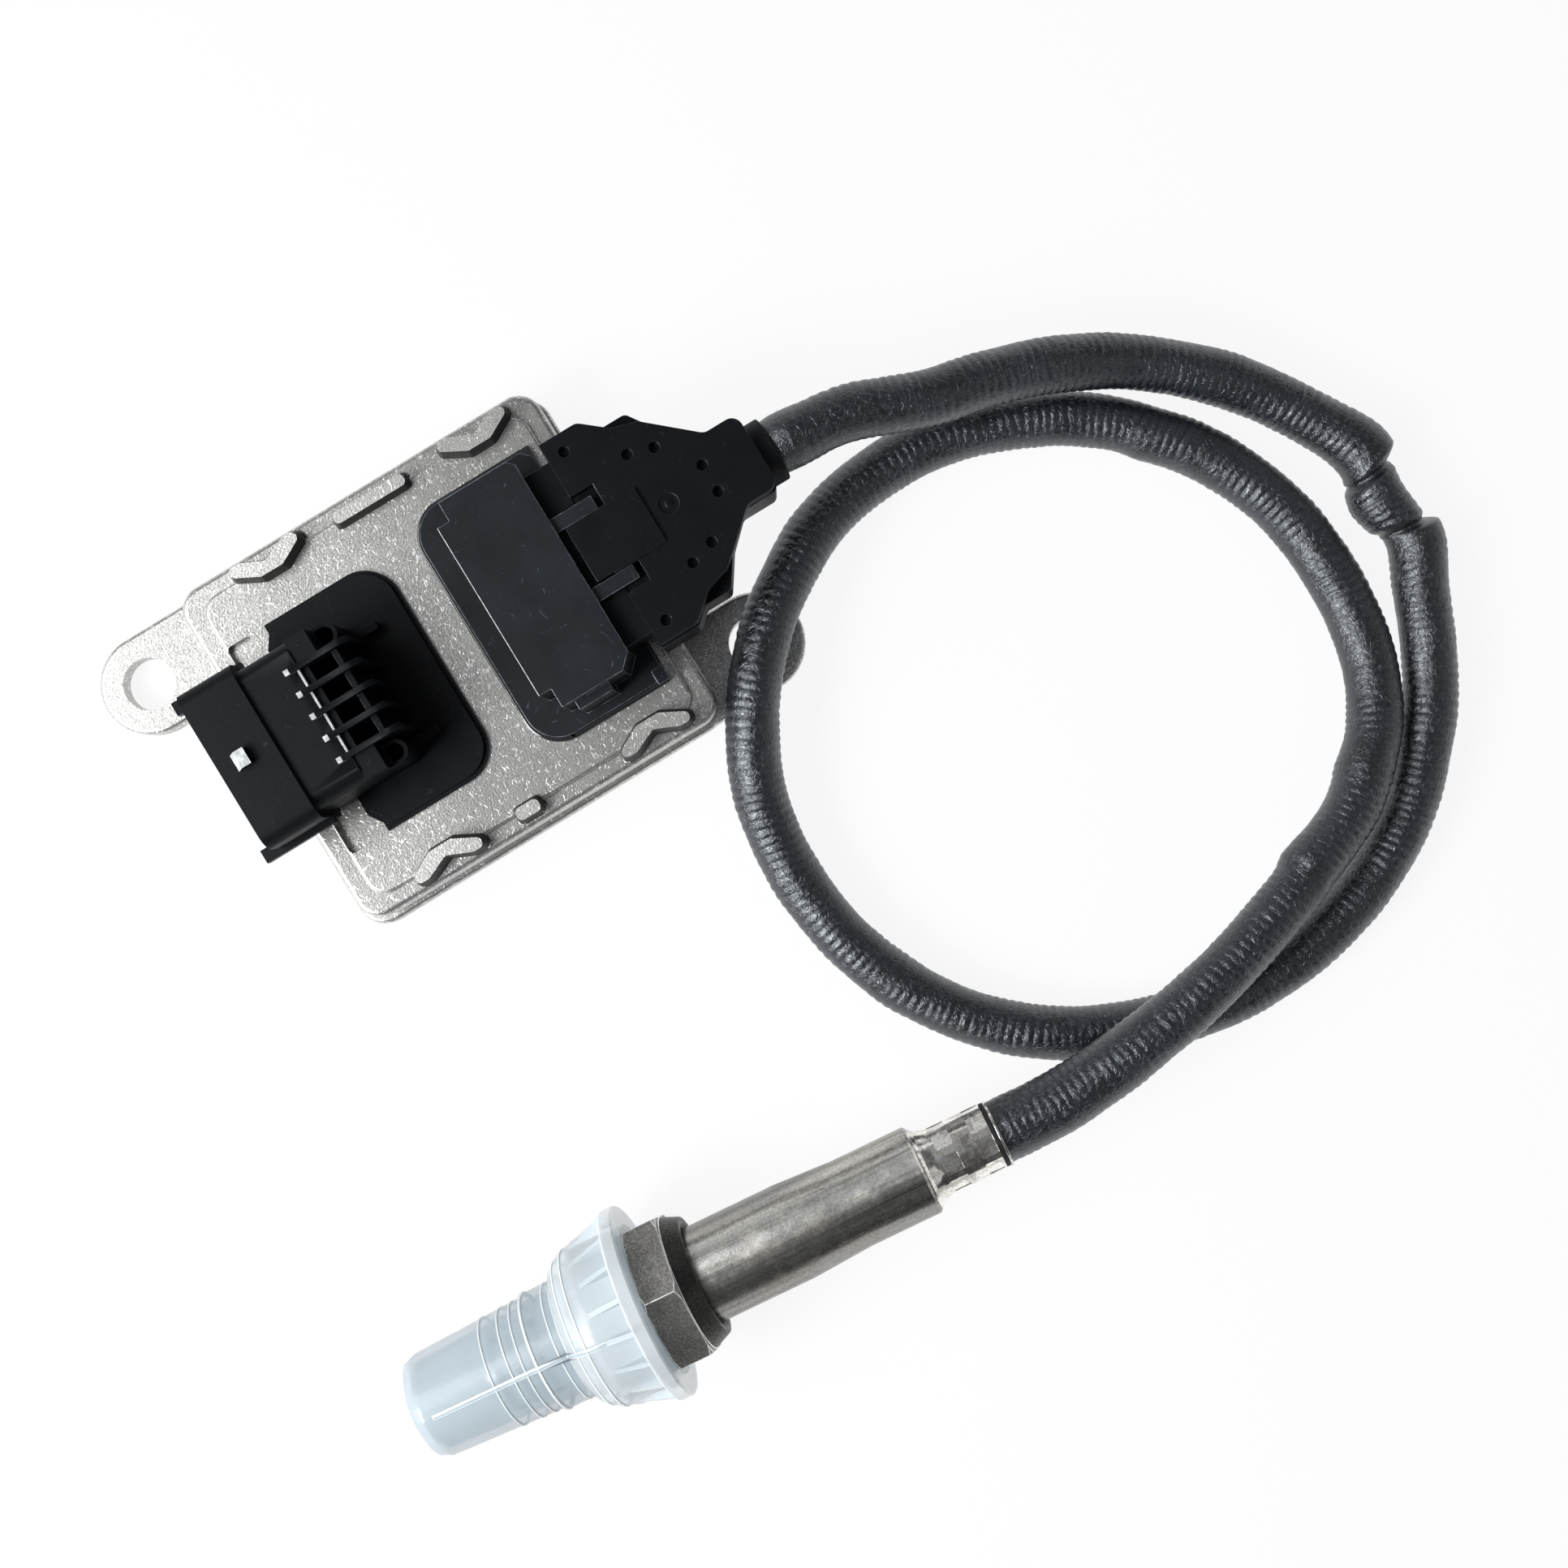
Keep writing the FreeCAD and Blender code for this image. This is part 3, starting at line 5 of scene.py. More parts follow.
import bpy
from bpy.props import FloatProperty, FloatVectorProperty, IntProperty, PointerProperty
from bpy.types import Operator, Panel, PropertyGroup
from mathutils import Matrix, Vector, noise

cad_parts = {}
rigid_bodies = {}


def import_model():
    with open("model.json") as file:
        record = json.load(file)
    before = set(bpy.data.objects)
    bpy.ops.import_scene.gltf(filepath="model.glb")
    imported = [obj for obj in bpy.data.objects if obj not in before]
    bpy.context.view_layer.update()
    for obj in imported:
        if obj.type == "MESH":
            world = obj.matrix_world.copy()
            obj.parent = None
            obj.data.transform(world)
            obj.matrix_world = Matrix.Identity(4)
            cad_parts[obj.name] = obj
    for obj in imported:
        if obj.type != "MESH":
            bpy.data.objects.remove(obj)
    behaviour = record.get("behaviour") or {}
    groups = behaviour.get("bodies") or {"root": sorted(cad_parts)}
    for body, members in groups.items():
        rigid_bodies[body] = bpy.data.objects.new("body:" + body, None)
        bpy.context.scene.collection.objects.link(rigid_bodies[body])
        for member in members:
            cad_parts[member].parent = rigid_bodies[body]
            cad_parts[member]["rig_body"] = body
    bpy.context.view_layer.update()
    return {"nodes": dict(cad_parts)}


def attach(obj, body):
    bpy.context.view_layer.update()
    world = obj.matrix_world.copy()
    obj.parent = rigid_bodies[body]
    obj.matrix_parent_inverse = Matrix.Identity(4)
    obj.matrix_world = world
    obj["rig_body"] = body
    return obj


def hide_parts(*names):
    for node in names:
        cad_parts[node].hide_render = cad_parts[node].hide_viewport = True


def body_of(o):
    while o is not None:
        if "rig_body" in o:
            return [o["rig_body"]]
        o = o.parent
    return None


bl_info = {
    "name": "Exhaust nitrogen oxide sensor",
    "version": (1, 0, 0),
    "blender": (4, 5, 0),
    "location": "3D View > Sidebar > Exhaust Sensor",
    "description": "Builds the control unit, its cable and the capped probe, with their finishes",
    "category": "Add Mesh",
}

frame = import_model()
bpy.ops.object.select_all(action="DESELECT")

MM = 0.001
# Points nearer than this are one
MERGE = 2e-6
# The probe's own axis: its nut's front face in the frame, turned in plan; it points to the cable
PROBE_TURN = math.radians(-5.6)
PROBE = Matrix.Translation((-0.0229, -0.1025, 0.0156)) @ Matrix.Rotation(PROBE_TURN, 4, "Z")
# Where the probe's tail ends and the cable's ribbed sleeve starts, along that axis
TAIL_END = 0.05935
# The cable's way over the floor, from the plug's collar to the probe's tail
CABLE_ROUTE = [
    (0.0610, 0.0000, 0.0205), (0.0710, 0.0000, 0.0205), (0.0838, -0.0051, 0.0184), (0.1036, -0.0087, 0.0136),
    (0.1218, -0.0177, 0.0076), (0.1364, -0.0322, 0.0046), (0.1442, -0.0507, 0.0046), (0.1420, -0.0712, 0.0046),
    (0.1305, -0.0906, 0.0046), (0.1140, -0.1058, 0.0046), (0.0909, -0.1126, 0.0046), (0.0672, -0.1101, 0.0046),
    (0.0454, -0.0981, 0.0046), (0.0316, -0.0773, 0.0046), (0.0288, -0.0525, 0.0052), (0.0350, -0.0342, 0.0096),
    (0.0494, -0.0182, 0.0096), (0.0689, -0.0088, 0.0054), (0.0911, -0.0102, 0.0046), (0.1126, -0.0215, 0.0046),
    (0.1268, -0.0423, 0.0046), (0.1296, -0.0640, 0.0048), (0.1253, -0.0814, 0.0064), (0.1151, -0.0927, 0.0096),
    (0.1003, -0.0991, 0.0126), (0.0856, -0.1037, 0.0148), (0.0715, -0.1069, 0.0159), (0.0579, -0.1085, 0.0160),
]
CABLE_ROUTE += [tuple(PROBE @ Vector((TAIL_END + 0.011, 0, 0))), tuple(PROBE @ Vector((TAIL_END, 0, 0)))]


# Shading


class Shades:
    """A material's node tree, with short ways to add the nodes that its finishes share."""

    def __init__(self, name):
        self.material = bpy.data.materials.new(name)
        self.material.use_nodes = True
        self.nodes = self.material.node_tree.nodes
        self.links = self.material.node_tree.links
        self.shader = self.nodes["Principled BSDF"]
        self.place = self.nodes.new("ShaderNodeTexCoord")

    def link(self, source, target):
        self.links.new(source, target)

    def turned(self, scale=(1, 1, 1), turn=(0, 0, 0)):
        """Object coordinates, stretched and turned."""
        node = self.nodes.new("ShaderNodeMapping")
        node.inputs["Scale"].default_value = scale
        node.inputs["Rotation"].default_value = turn
        self.link(self.place.outputs["Object"], node.inputs["Vector"])
        return node.outputs["Vector"]

    def grain(self, size, detail=4.0, roughness=0.55, vector=None, distortion=0.0):
        """Noise whose spots are about the given size in metres."""
        node = self.nodes.new("ShaderNodeTexNoise")
        node.inputs["Scale"].default_value = 1 / size
        node.inputs["Detail"].default_value = detail
        node.inputs["Roughness"].default_value = roughness
        node.inputs["Distortion"].default_value = distortion
        self.link(vector or self.place.outputs["Object"], node.inputs["Vector"])
        return node.outputs["Fac"]

    def ramp(self, factor, *stops):
        """Grey or colour stops over a factor."""
        node = self.nodes.new("ShaderNodeValToRGB")
        elements = node.color_ramp.elements
        while len(elements) < len(stops):
            elements.new(0.5)
        for element, (position, colour) in zip(elements, stops):
            element.position = position
            element.color = (colour, colour, colour, 1) if isinstance(colour, float) else (*colour[:3], 1)
        self.link(factor, node.inputs["Fac"])
        return node.outputs["Color"]

    def mixed(self, factor, first, second, kind="MIX"):
        """Two colours mixed by a factor; each may be a colour or another node's output."""
        node = self.nodes.new("ShaderNodeMix")
        node.data_type = "RGBA"
        node.blend_type = kind
        for value, socket in ((factor, node.inputs[0]), (first, node.inputs[6]), (second, node.inputs[7])):
            if isinstance(value, bpy.types.NodeSocket):
                self.link(value, socket)
            elif isinstance(value, (int, float)):
                socket.default_value = value
            else:
                socket.default_value = (*value[:3], 1)
        return node.outputs[2]

    def bumped(self, height, strength, distance, below=None):
        """A bump from a height, over another bump if one is given."""
        node = self.nodes.new("ShaderNodeBump")
        node.inputs["Strength"].default_value = strength
        node.inputs["Distance"].default_value = distance
        self.link(height, node.inputs["Height"])
        if below:
            self.link(below, node.inputs["Normal"])
        return node.outputs["Normal"]

    def curls(self, size, width, share, turn=0.0, patch=0.0012):
        """Short curly scratches: the level lines of a noise, kept only in patches."""
        wandering = self.grain(size, 0.0, 0.5, self.turned(turn=(0.3, 0.2, turn)), 1.6)
        lines = self.ramp(wandering, (0.5 - width, 0.0), (0.5, 1.0), (0.5 + width, 0.0))
        spots = self.grain(patch, 1.0, 0.5, self.turned(turn=(0.9, 0.4, turn + 1.3)))
        return self.mixed(1.0, lines, self.ramp(spots, (share, 0.0), (share + 0.05, 1.0)), "MULTIPLY")

    def set(self, **values):
        """Constants on the shader's own sockets, by their names with spaces for underscores."""
        for name, value in values.items():
            socket = self.shader.inputs[name.replace("_", " ")]
            socket.default_value = (*value[:3], 1) if hasattr(value, "__len__") else value
        return self

    def colour(self, output):
        self.link(output, self.shader.inputs["Base Color"])

    def gloss(self, output):
        self.link(output, self.shader.inputs["Roughness"])

    def normal(self, output):
        self.link(output, self.shader.inputs["Normal"])


def shade(colour, factor):
    """A colour made lighter or darker."""
    return tuple(min(1.0, channel * factor) for channel in colour[:3])


def cast_aluminium(name, colour, lift=1.0):
    """Tumbled die casting: a fine sparkling grain, short curly scratches and cloudy patches."""
    s = Shades(name)
    sparkle = s.grain(0.00034, 2.0, 0.6)
    base = s.ramp(sparkle, (0.30, shade(colour, 0.58 * lift)), (0.46, shade(colour, 0.90 * lift)),
                  (0.58, shade(colour, 1.04 * lift)), (0.72, shade(colour, 1.55 * lift)))
    base = s.mixed(1.0, base, s.ramp(s.grain(0.012, 4.0), (0.3, 0.82), (0.7, 1.0)), "MULTIPLY")
    bright = s.mixed(1.0, s.curls(0.0021, 0.055, 0.555, 0.0, 0.0009), s.curls(0.0025, 0.045, 0.565, 1.9, 0.0009),
                     "LIGHTEN")
    dark = s.curls(0.0023, 0.050, 0.555, 4.1, 0.0009)
    base = s.mixed(s.mixed(0.5, (0, 0, 0), dark), base, shade(colour, 0.45 * lift))
    base = s.mixed(s.mixed(0.8, (0, 0, 0), bright), base, shade(colour, 2.0 * lift))
    s.colour(base)
    s.set(Metallic=0.88)
    s.gloss(s.ramp(sparkle, (0.3, 0.40), (0.68, 0.26)))
    s.normal(s.bumped(bright, 0.3, 0.00005, s.bumped(sparkle, 0.35, 0.00012)))
    return s.material


def painted_shade_skin(name, colour):
    """Painted shade for the casting's steep walls: dull and dark."""
    s = Shades(name)
    s.colour(s.ramp(s.grain(0.00045, 3.0), (0.3, shade(colour, 0.6)), (0.7, shade(colour, 1.4))))
    s.set(Metallic=0.2, Roughness=0.62, Specular_IOR_Level=0.3)
    s.normal(s.bumped(s.grain(0.0004, 3.0), 0.4, 0.0001))
    return s.material


def moulded_plastic(name, colour, roughness=0.42, dust=0.25):
    """Glass-filled black moulding: satin, with faint grain, dusty patches and a few rubbed marks."""
    s = Shades(name)
    haze = s.ramp(s.grain(0.010, 5.0, 0.65), (0.42, 0.0), (0.75, dust))
    specks = s.ramp(s.grain(0.0009, 2.0, 0.6), (0.70, 0.0), (0.76, 0.5))
    marks = s.mixed(0.5, (0, 0, 0), s.curls(0.0060, 0.010, 0.60, 0.0, 0.002))
    base = s.mixed(haze, colour, shade(colour, 2.4))
    base = s.mixed(specks, base, shade(colour, 5.0))
    s.colour(s.mixed(marks, base, shade(colour, 9.0)))
    s.gloss(s.ramp(s.grain(0.006, 5.0, 0.6), (0.3, roughness - 0.06), (0.7, roughness + 0.1)))
    s.normal(s.bumped(s.grain(0.00035, 3.0, 0.6), 0.2, 0.00007))
    s.set(Specular_IOR_Level=0.12)
    return s.material


def worn_highlit_plastic(name, colour, wear=6.0):
    """The moulding's edges: smoother, and greyer, partly from rubbing and partly as a painted highlight along them.
    """
    s = Shades(name)
    s.colour(s.ramp(s.grain(0.0013, 4.0, 0.7), (0.36, shade(colour, 1.5)), (0.66, shade(colour, wear))))
    s.set(Roughness=0.3, Specular_IOR_Level=0.5)
    s.normal(s.bumped(s.grain(0.0006, 3.0), 0.3, 0.00006))
    return s.material


def pale_highlight_paint(name):
    """Pale paint for a painted highlight on plastic edges and tops that catch the light."""
    s = Shades(name)
    s.colour(s.ramp(s.grain(0.0008, 4.0, 0.7), (0.3, (0.30, 0.32, 0.33)), (0.6, (0.66, 0.69, 0.71))))
    s.set(Roughness=0.55)
    s.normal(s.bumped(s.grain(0.0005, 3.0), 0.5, 0.0001))
    return s.material


def wet_seal(name):
    """The shining black bead round the sensor header."""
    s = Shades(name)
    s.colour(s.ramp(s.grain(0.004, 3.0), (0.3, (0.006, 0.006, 0.007)), (0.7, (0.014, 0.014, 0.016))))
    s.set(Roughness=0.10, Coat_Weight=1.0, Coat_Roughness=0.04, Specular_IOR_Level=0.8)
    s.normal(s.bumped(s.grain(0.003, 2.0), 0.25, 0.0003))
    return s.material


def soft_rubber(name, colour=(0.016, 0.016, 0.018)):
    """Plain soft rubber."""
    s = Shades(name)
    s.colour(s.ramp(s.grain(0.002, 4.0), (0.3, shade(colour, 0.8)), (0.7, shade(colour, 1.6))))
    s.gloss(s.ramp(s.grain(0.001, 3.0), (0.3, 0.5), (0.7, 0.7)))
    s.set(Specular_IOR_Level=0.2)
    s.normal(s.bumped(s.grain(0.0004, 3.0), 0.3, 0.00008))
    return s.material


def cable_jacket(name, colour):
    """The cable's jacket: a leathery vinyl skin over ribs, creased finely across, with painted shade in the rib
    grooves and painted glints on the rib crests and along its fine crease lines.
    """
    s = Shades(name)
    cloud = s.grain(0.013, 4.0)
    base = s.mixed(s.ramp(cloud, (0.35, 0.0), (0.7, 0.6)), colour, shade(colour, 1.7))
    # Painted shade in the rib grooves and a painted highlight on the crests, by the rib height stored with the mesh
    ridge = s.nodes.new("ShaderNodeAttribute")
    ridge.attribute_name = "ridge"
    ridges = s.ramp(ridge.outputs["Fac"], (0.1, 0.45), (0.9, 1.5))
    base = s.mixed(1.0, base, ridges, "MULTIPLY")
    # Fine crease lines across the jacket, bumped and lightened as painted glints
    crease_glints = s.curls(0.0024, 0.05, 0.46, 0.7)
    s.colour(s.mixed(crease_glints, base, shade(colour, 3.2)))
    s.gloss(s.ramp(s.grain(0.0030, 4.0, 0.6), (0.3, 0.20), (0.7, 0.36)))
    s.set(Specular_IOR_Level=1.0, IOR=1.56, Specular_Tint=(0.90, 0.95, 1.0))
    leather = s.bumped(s.grain(0.00085, 4.0, 0.65, None, 1.2), 0.55, 0.00030)
    s.normal(s.bumped(crease_glints, 0.35, 0.00015, leather))
    return s.material


def gunmetal(name, colour):
    """Dark sintered-looking steel: an even fine speckle, paler where it is handled."""
    s = Shades(name)
    speckle = s.grain(0.00036, 3.0, 0.7)
    base = s.ramp(speckle, (0.30, shade(colour, 0.5)), (0.50, colour), (0.72, shade(colour, 1.9)))
    base = s.mixed(1.0, base, s.ramp(s.grain(0.004, 4.0), (0.3, 0.78), (0.7, 1.2)), "MULTIPLY")
    s.colour(base)
    s.set(Metallic=0.85)
    s.gloss(s.ramp(speckle, (0.3, 0.50), (0.7, 0.34)))
    s.normal(s.bumped(speckle, 0.35, 0.0001))
    return s.material


# Half the width over which the painted light and shade across the drawn steel change from one side to the other, on
# the sleeve and on the tail
SLEEVE_LIGHT_HALF_WIDTH = 0.0092
TAIL_LIGHT_HALF_WIDTH = 0.0072


def turned_steel(name, colour, roughness, warmth, contrast, reach, depth, glint_share):
    """Drawn stainless steel on the probe's axis: streaks along it, speckle, a warm haze, patches of painted glints,
    and painted light and shade across it.
    """
    s = Shades(name)
    own = s.nodes.new("ShaderNodeMapping")
    own.vector_type = "TEXTURE"
    own.inputs["Location"].default_value = PROBE.translation
    own.inputs["Rotation"].default_value = (0, 0, PROBE_TURN)
    s.link(s.place.outputs["Object"], own.inputs["Vector"])
    lengthwise = s.nodes.new("ShaderNodeMapping")
    lengthwise.inputs["Scale"].default_value = (0.025, 1.0, 1.0)
    s.link(own.outputs["Vector"], lengthwise.inputs["Vector"])
    streaks = s.grain(0.0017, 3.0, 0.6, lengthwise.outputs["Vector"])
    base = s.ramp(streaks, (0.34, shade(colour, 1 - contrast)), (0.43, shade(colour, 1 - contrast * 0.5)),
                  (0.54, colour), (0.66, shade(colour, 1 + contrast)))
    warm = (colour[0] * 1.05, colour[1] * 0.98, colour[2] * 0.86)
    base = s.mixed(s.ramp(s.grain(0.008, 4.0, 0.6), (0.35, 0.0), (0.7, warmth)), base, warm)
    speckle = s.grain(0.00042, 3.0, 0.7)
    base = s.mixed(1.0, base, s.ramp(speckle, (0.3, 0.70), (0.7, 1.28)), "MULTIPLY")
    # Patches of painted glints and painted reflection, bright and dark, as crimped steel shows them
    glint_patches = s.ramp(s.grain(0.0024, 1.0, 0.5, None, 0.9), (0.38, 0.25), (0.45, 0.70), (0.53, 0.90),
                     (0.58, 1.16))
    base = s.mixed(glint_share, base, glint_patches, "MULTIPLY")
    # Painted light and shade across the steel, by the place across its axis: dark on one side, a painted highlight
    # band past the middle and a band of painted shade near the other edge; depth sets how much is painted in
    apart = s.nodes.new("ShaderNodeSeparateXYZ")
    s.link(own.outputs["Vector"], apart.inputs["Vector"])
    side = s.nodes.new("ShaderNodeMath")
    side.operation = "MULTIPLY_ADD"
    side.inputs[1].default_value = 1 / (2 * reach)
    side.inputs[2].default_value = 0.5
    s.link(apart.outputs["Y"], side.inputs[0])
    painted_light_across = s.ramp(side.outputs[0], (0.10, 0.18), (0.30, 0.32), (0.47, 0.40), (0.54, 0.75), (0.60, 1.0),
                    (0.80, 1.0), (0.86, 0.5), (0.90, 0.14), (0.96, 0.18))
    s.colour(s.mixed(depth, base, painted_light_across, "MULTIPLY"))
    s.set(Metallic=1.0)
    s.gloss(s.ramp(s.grain(0.0024, 4.0, 0.65), (0.3, roughness - 0.06), (0.7, roughness + 0.1)))
    s.normal(s.bumped(speckle, 0.25, 0.00006))
    return s.material


def clear_plastic(name, colour, cover):
    """Soft translucent plastic, milky and slightly blue."""
    s = Shades(name)
    s.colour(s.ramp(s.grain(0.006, 3.0), (0.3, shade(colour, 0.96)), (0.7, shade(colour, 1.03))))
    s.set(Roughness=0.2, IOR=1.5, Alpha=cover, Specular_IOR_Level=0.6)
    s.normal(s.bumped(s.grain(0.0025, 3.0), 0.25, 0.0002))
    return s.material


def plain_finish(name, colour, roughness, metallic):
    """A quiet finish with a little grain, for what is held inside."""
    size = 0.0015
    s = Shades(name)
    s.colour(s.ramp(s.grain(size, 4.0), (0.3, shade(colour, 0.85)), (0.7, shade(colour, 1.12))))
    s.set(Metallic=metallic)
    s.gloss(s.ramp(s.grain(size * 2, 3.0), (0.3, max(0.05, roughness - 0.08)), (0.7, roughness + 0.08)))
    s.normal(s.bumped(s.grain(size / 2, 3.0), 0.2, 0.00006))
    return s.material


# Making


def deselect():
    """Nothing selected and nothing in edit mode."""
    if bpy.context.object and bpy.context.object.mode != "OBJECT":
        bpy.ops.object.mode_set(mode="OBJECT")
    bpy.ops.object.select_all(action="DESELECT")


def pick(piece):
    """Only this piece selected and active."""
    deselect()
    piece.select_set(True)
    bpy.context.view_layer.objects.active = piece


def smooth(piece, angle):
    """Smooth shading except over edges sharper than an angle in degrees."""
    pick(piece)
    bpy.ops.object.shade_smooth_by_angle(angle=math.radians(angle))


def apply_modifier(piece, kind, **settings):
    """A modifier added, set and applied."""
    pick(piece)
    modifier = piece.modifiers.new(kind.title(), kind)
    for name, value in settings.items():
        setattr(modifier, name, value)
    bpy.ops.object.modifier_apply(modifier=modifier.name)


def dressed(node, name, rounding, materials, segments=2, angle=28, smooth_angle=35):
    """A copy of a CAD node, its facets merged, its edges rounded and given the second material."""
    source = frame["nodes"][node]
    mesh = source.data.copy()
    mesh.materials.clear()
    mesh.name = name
    piece = bpy.data.objects.new(name, mesh)
    bpy.context.scene.collection.objects.link(piece)
    for material in materials:
        mesh.materials.append(material)
    pick(piece)
    bpy.ops.object.mode_set(mode="EDIT")
    bpy.ops.mesh.select_all(action="SELECT")
    bpy.ops.mesh.remove_doubles(threshold=MERGE)
    bpy.ops.mesh.dissolve_limited(angle_limit=math.radians(0.6))
    bpy.ops.object.mode_set(mode="OBJECT")
    if rounding:
        apply_modifier(piece, "BEVEL", width=rounding, segments=segments, limit_method="ANGLE",
                       angle_limit=math.radians(angle), material=1 if len(materials) > 1 else -1,
                       use_clamp_overlap=True, miter_outer="MITER_ARC", harden_normals=False)
    smooth(piece, smooth_angle)
    apply_modifier(piece, "WEIGHTED_NORMAL", mode="FACE_AREA", keep_sharp=True)
    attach(piece, body_of(source)[0])
    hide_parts(node)
    return piece


def mark_faces(piece, material, test, skin_only=False):
    """Gives faces a material of their own by their place, leaving rounded edges alone if only the skin counts."""
    piece.data.materials.append(material)
    number = len(piece.data.materials) - 1
    for polygon in piece.data.polygons:
        if skin_only and polygon.material_index != 0:
            continue
        if test(polygon.center, polygon.normal):
            polygon.material_index = number


def inside(place, box):
    """Whether a place lies between a box's lowest and highest corner."""
    return all(low < value < high for low, value, high in zip(box[0], place, box[1]))


def from_outline(name, count, places):
    """A ring of points made with the circle tool and set to the given places."""
    deselect()
    bpy.ops.mesh.primitive_circle_add(vertices=count, radius=0.001, location=(0, 0, 0))
    piece = bpy.context.object
    piece.name = piece.data.name = name
    for vertex, place in zip(piece.data.vertices, places):
        vertex.co = [size * MM for size in place]
    return piece


def close_up(piece):
    """Merges the seam, fills open ends and turns every face outward."""
    pick(piece)
    bpy.ops.object.mode_set(mode="EDIT")
    bpy.ops.mesh.select_all(action="SELECT")
    bpy.ops.mesh.remove_doubles(threshold=MERGE)
    bpy.ops.mesh.fill_holes(sides=0)
    bpy.ops.mesh.select_all(action="SELECT")
    bpy.ops.mesh.normals_make_consistent(inside=False)
    bpy.ops.object.mode_set(mode="OBJECT")


def on_probe(piece):
    """Puts a piece made round the X axis in place on the gland nut's body."""
    piece.data.transform(PROBE)
    piece.data.update()
    smooth(piece, 40)
    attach(piece, "gland_nut")


def settings():
    """The sizes and colours set in the panel."""
    return bpy.context.scene.exhaust_sensor


# Sizes and colours


class CableSettings(PropertyGroup):
    diameter: FloatProperty(name="Diameter", description="Outer diameter of the cable's jacket",
                            default=0.0088, subtype="DISTANCE", unit="LENGTH")
    root_diameter: FloatProperty(name="Diameter at the probe", description="Jacket diameter behind the tail",
                                 default=0.0102, subtype="DISTANCE", unit="LENGTH")
    rib_pitch: FloatProperty(name="Rib pitch", description="Distance from one rib of the conduit to the next",
                             default=0.00145, subtype="DISTANCE", unit="LENGTH")
    rib_height: FloatProperty(name="Rib height", description="How far a rib shows through the jacket",
                              default=0.00019, subtype="DISTANCE", unit="LENGTH")
    around: IntProperty(name="Sides", description="Faces round the jacket", default=30, min=8)
    colour: FloatVectorProperty(name="Jacket", description="Colour of the jacket", subtype="COLOR",
                                default=(0.0038, 0.0052, 0.0088), min=0, max=1)


class UnitSettings(PropertyGroup):
    casting: FloatVectorProperty(name="Casting", description="Colour of the bare aluminium", subtype="COLOR",
                                 default=(0.56, 0.56, 0.545), min=0, max=1)
    moulding: FloatVectorProperty(name="Moulding", description="Colour of the black plastic", subtype="COLOR",
                                  default=(0.0042, 0.0051, 0.0066), min=0, max=1)
    header: FloatVectorProperty(name="Header", description="Colour of the sensor header's block", subtype="COLOR",
                                default=(0.0150, 0.0175, 0.0205), min=0, max=1)
    casting_edge: FloatProperty(name="Casting edges", description="Rounding of the casting's edges",
                                default=0.0004, subtype="DISTANCE", unit="LENGTH")
    moulding_edge: FloatProperty(name="Moulding edges", description="Rounding of the plastic's edges",
                                 default=0.0002, subtype="DISTANCE", unit="LENGTH")


class ProbeSettings(PropertyGroup):
    nut: FloatVectorProperty(name="Nut", description="Colour of the gland nut's steel", subtype="COLOR",
                             default=(0.295, 0.288, 0.275), min=0, max=1)
    sleeve: FloatVectorProperty(name="Sleeve", description="Colour of the sensor's sleeve", subtype="COLOR",
                                default=(0.95, 0.94, 0.89), min=0, max=1)
    tail: FloatVectorProperty(name="Tail", description="Colour of the crimped tail", subtype="COLOR",
                              default=(0.86, 0.84, 0.80), min=0, max=1)
    cap: FloatVectorProperty(name="Cap", description="Colour of the protective cap", subtype="COLOR",
                             default=(0.52, 0.61, 0.67), min=0, max=1)
    cap_edge: FloatVectorProperty(name="Cap edge", description="Colour of the cap's edges, rings and flange",
                                  subtype="COLOR", default=(0.90, 0.95, 0.98), min=0, max=1)
    cap_cover: FloatProperty(name="Cap cover", description="How much one face of the cap's wall hides",
                             default=0.52, min=0, max=1, subtype="FACTOR")
    edge_cover: FloatProperty(name="Edge cover", description="How much one face of an edge, ring or flange hides",
                              default=0.76, min=0, max=1, subtype="FACTOR")
    thread_pitch: FloatProperty(name="Thread pitch", description="Pitch of the nut's thread",
                                default=0.0015, subtype="DISTANCE", unit="LENGTH")


class StageSettings(PropertyGroup):
    height: FloatProperty(name="Camera height", description="Camera above the floor", default=0.300,
                          subtype="DISTANCE", unit="LENGTH")
    lens: FloatProperty(name="Lens", description="Focal length on a 36 mm frame", default=42.0)
    turn: FloatProperty(name="Camera turn", description="Turn of the picture in plan",
                        default=math.radians(-31.3), subtype="ANGLE", unit="ROTATION")
    floor: FloatVectorProperty(name="Floor", description="Colour of the floor", subtype="COLOR",
                               default=(0.90, 0.90, 0.90), min=0, max=1)
    key: FloatProperty(name="Key light", description="Power of the main softbox in watts", default=2.6)


class SensorSettings(PropertyGroup):
    cable: PointerProperty(type=CableSettings)
    unit: PointerProperty(type=UnitSettings)
    probe: PointerProperty(type=ProbeSettings)
    stage: PointerProperty(type=StageSettings)


# Cable


def smooth_step(low, high, value):
    """Rises softly from 0 to 1 between two values."""
    t = min(1.0, max(0.0, (value - low) / (high - low)))
    return t * t * (3 - 2 * t)


def hump(value, middle, width):
    """A soft bump of height one."""
    return math.exp(-((value - middle) / width) ** 2)


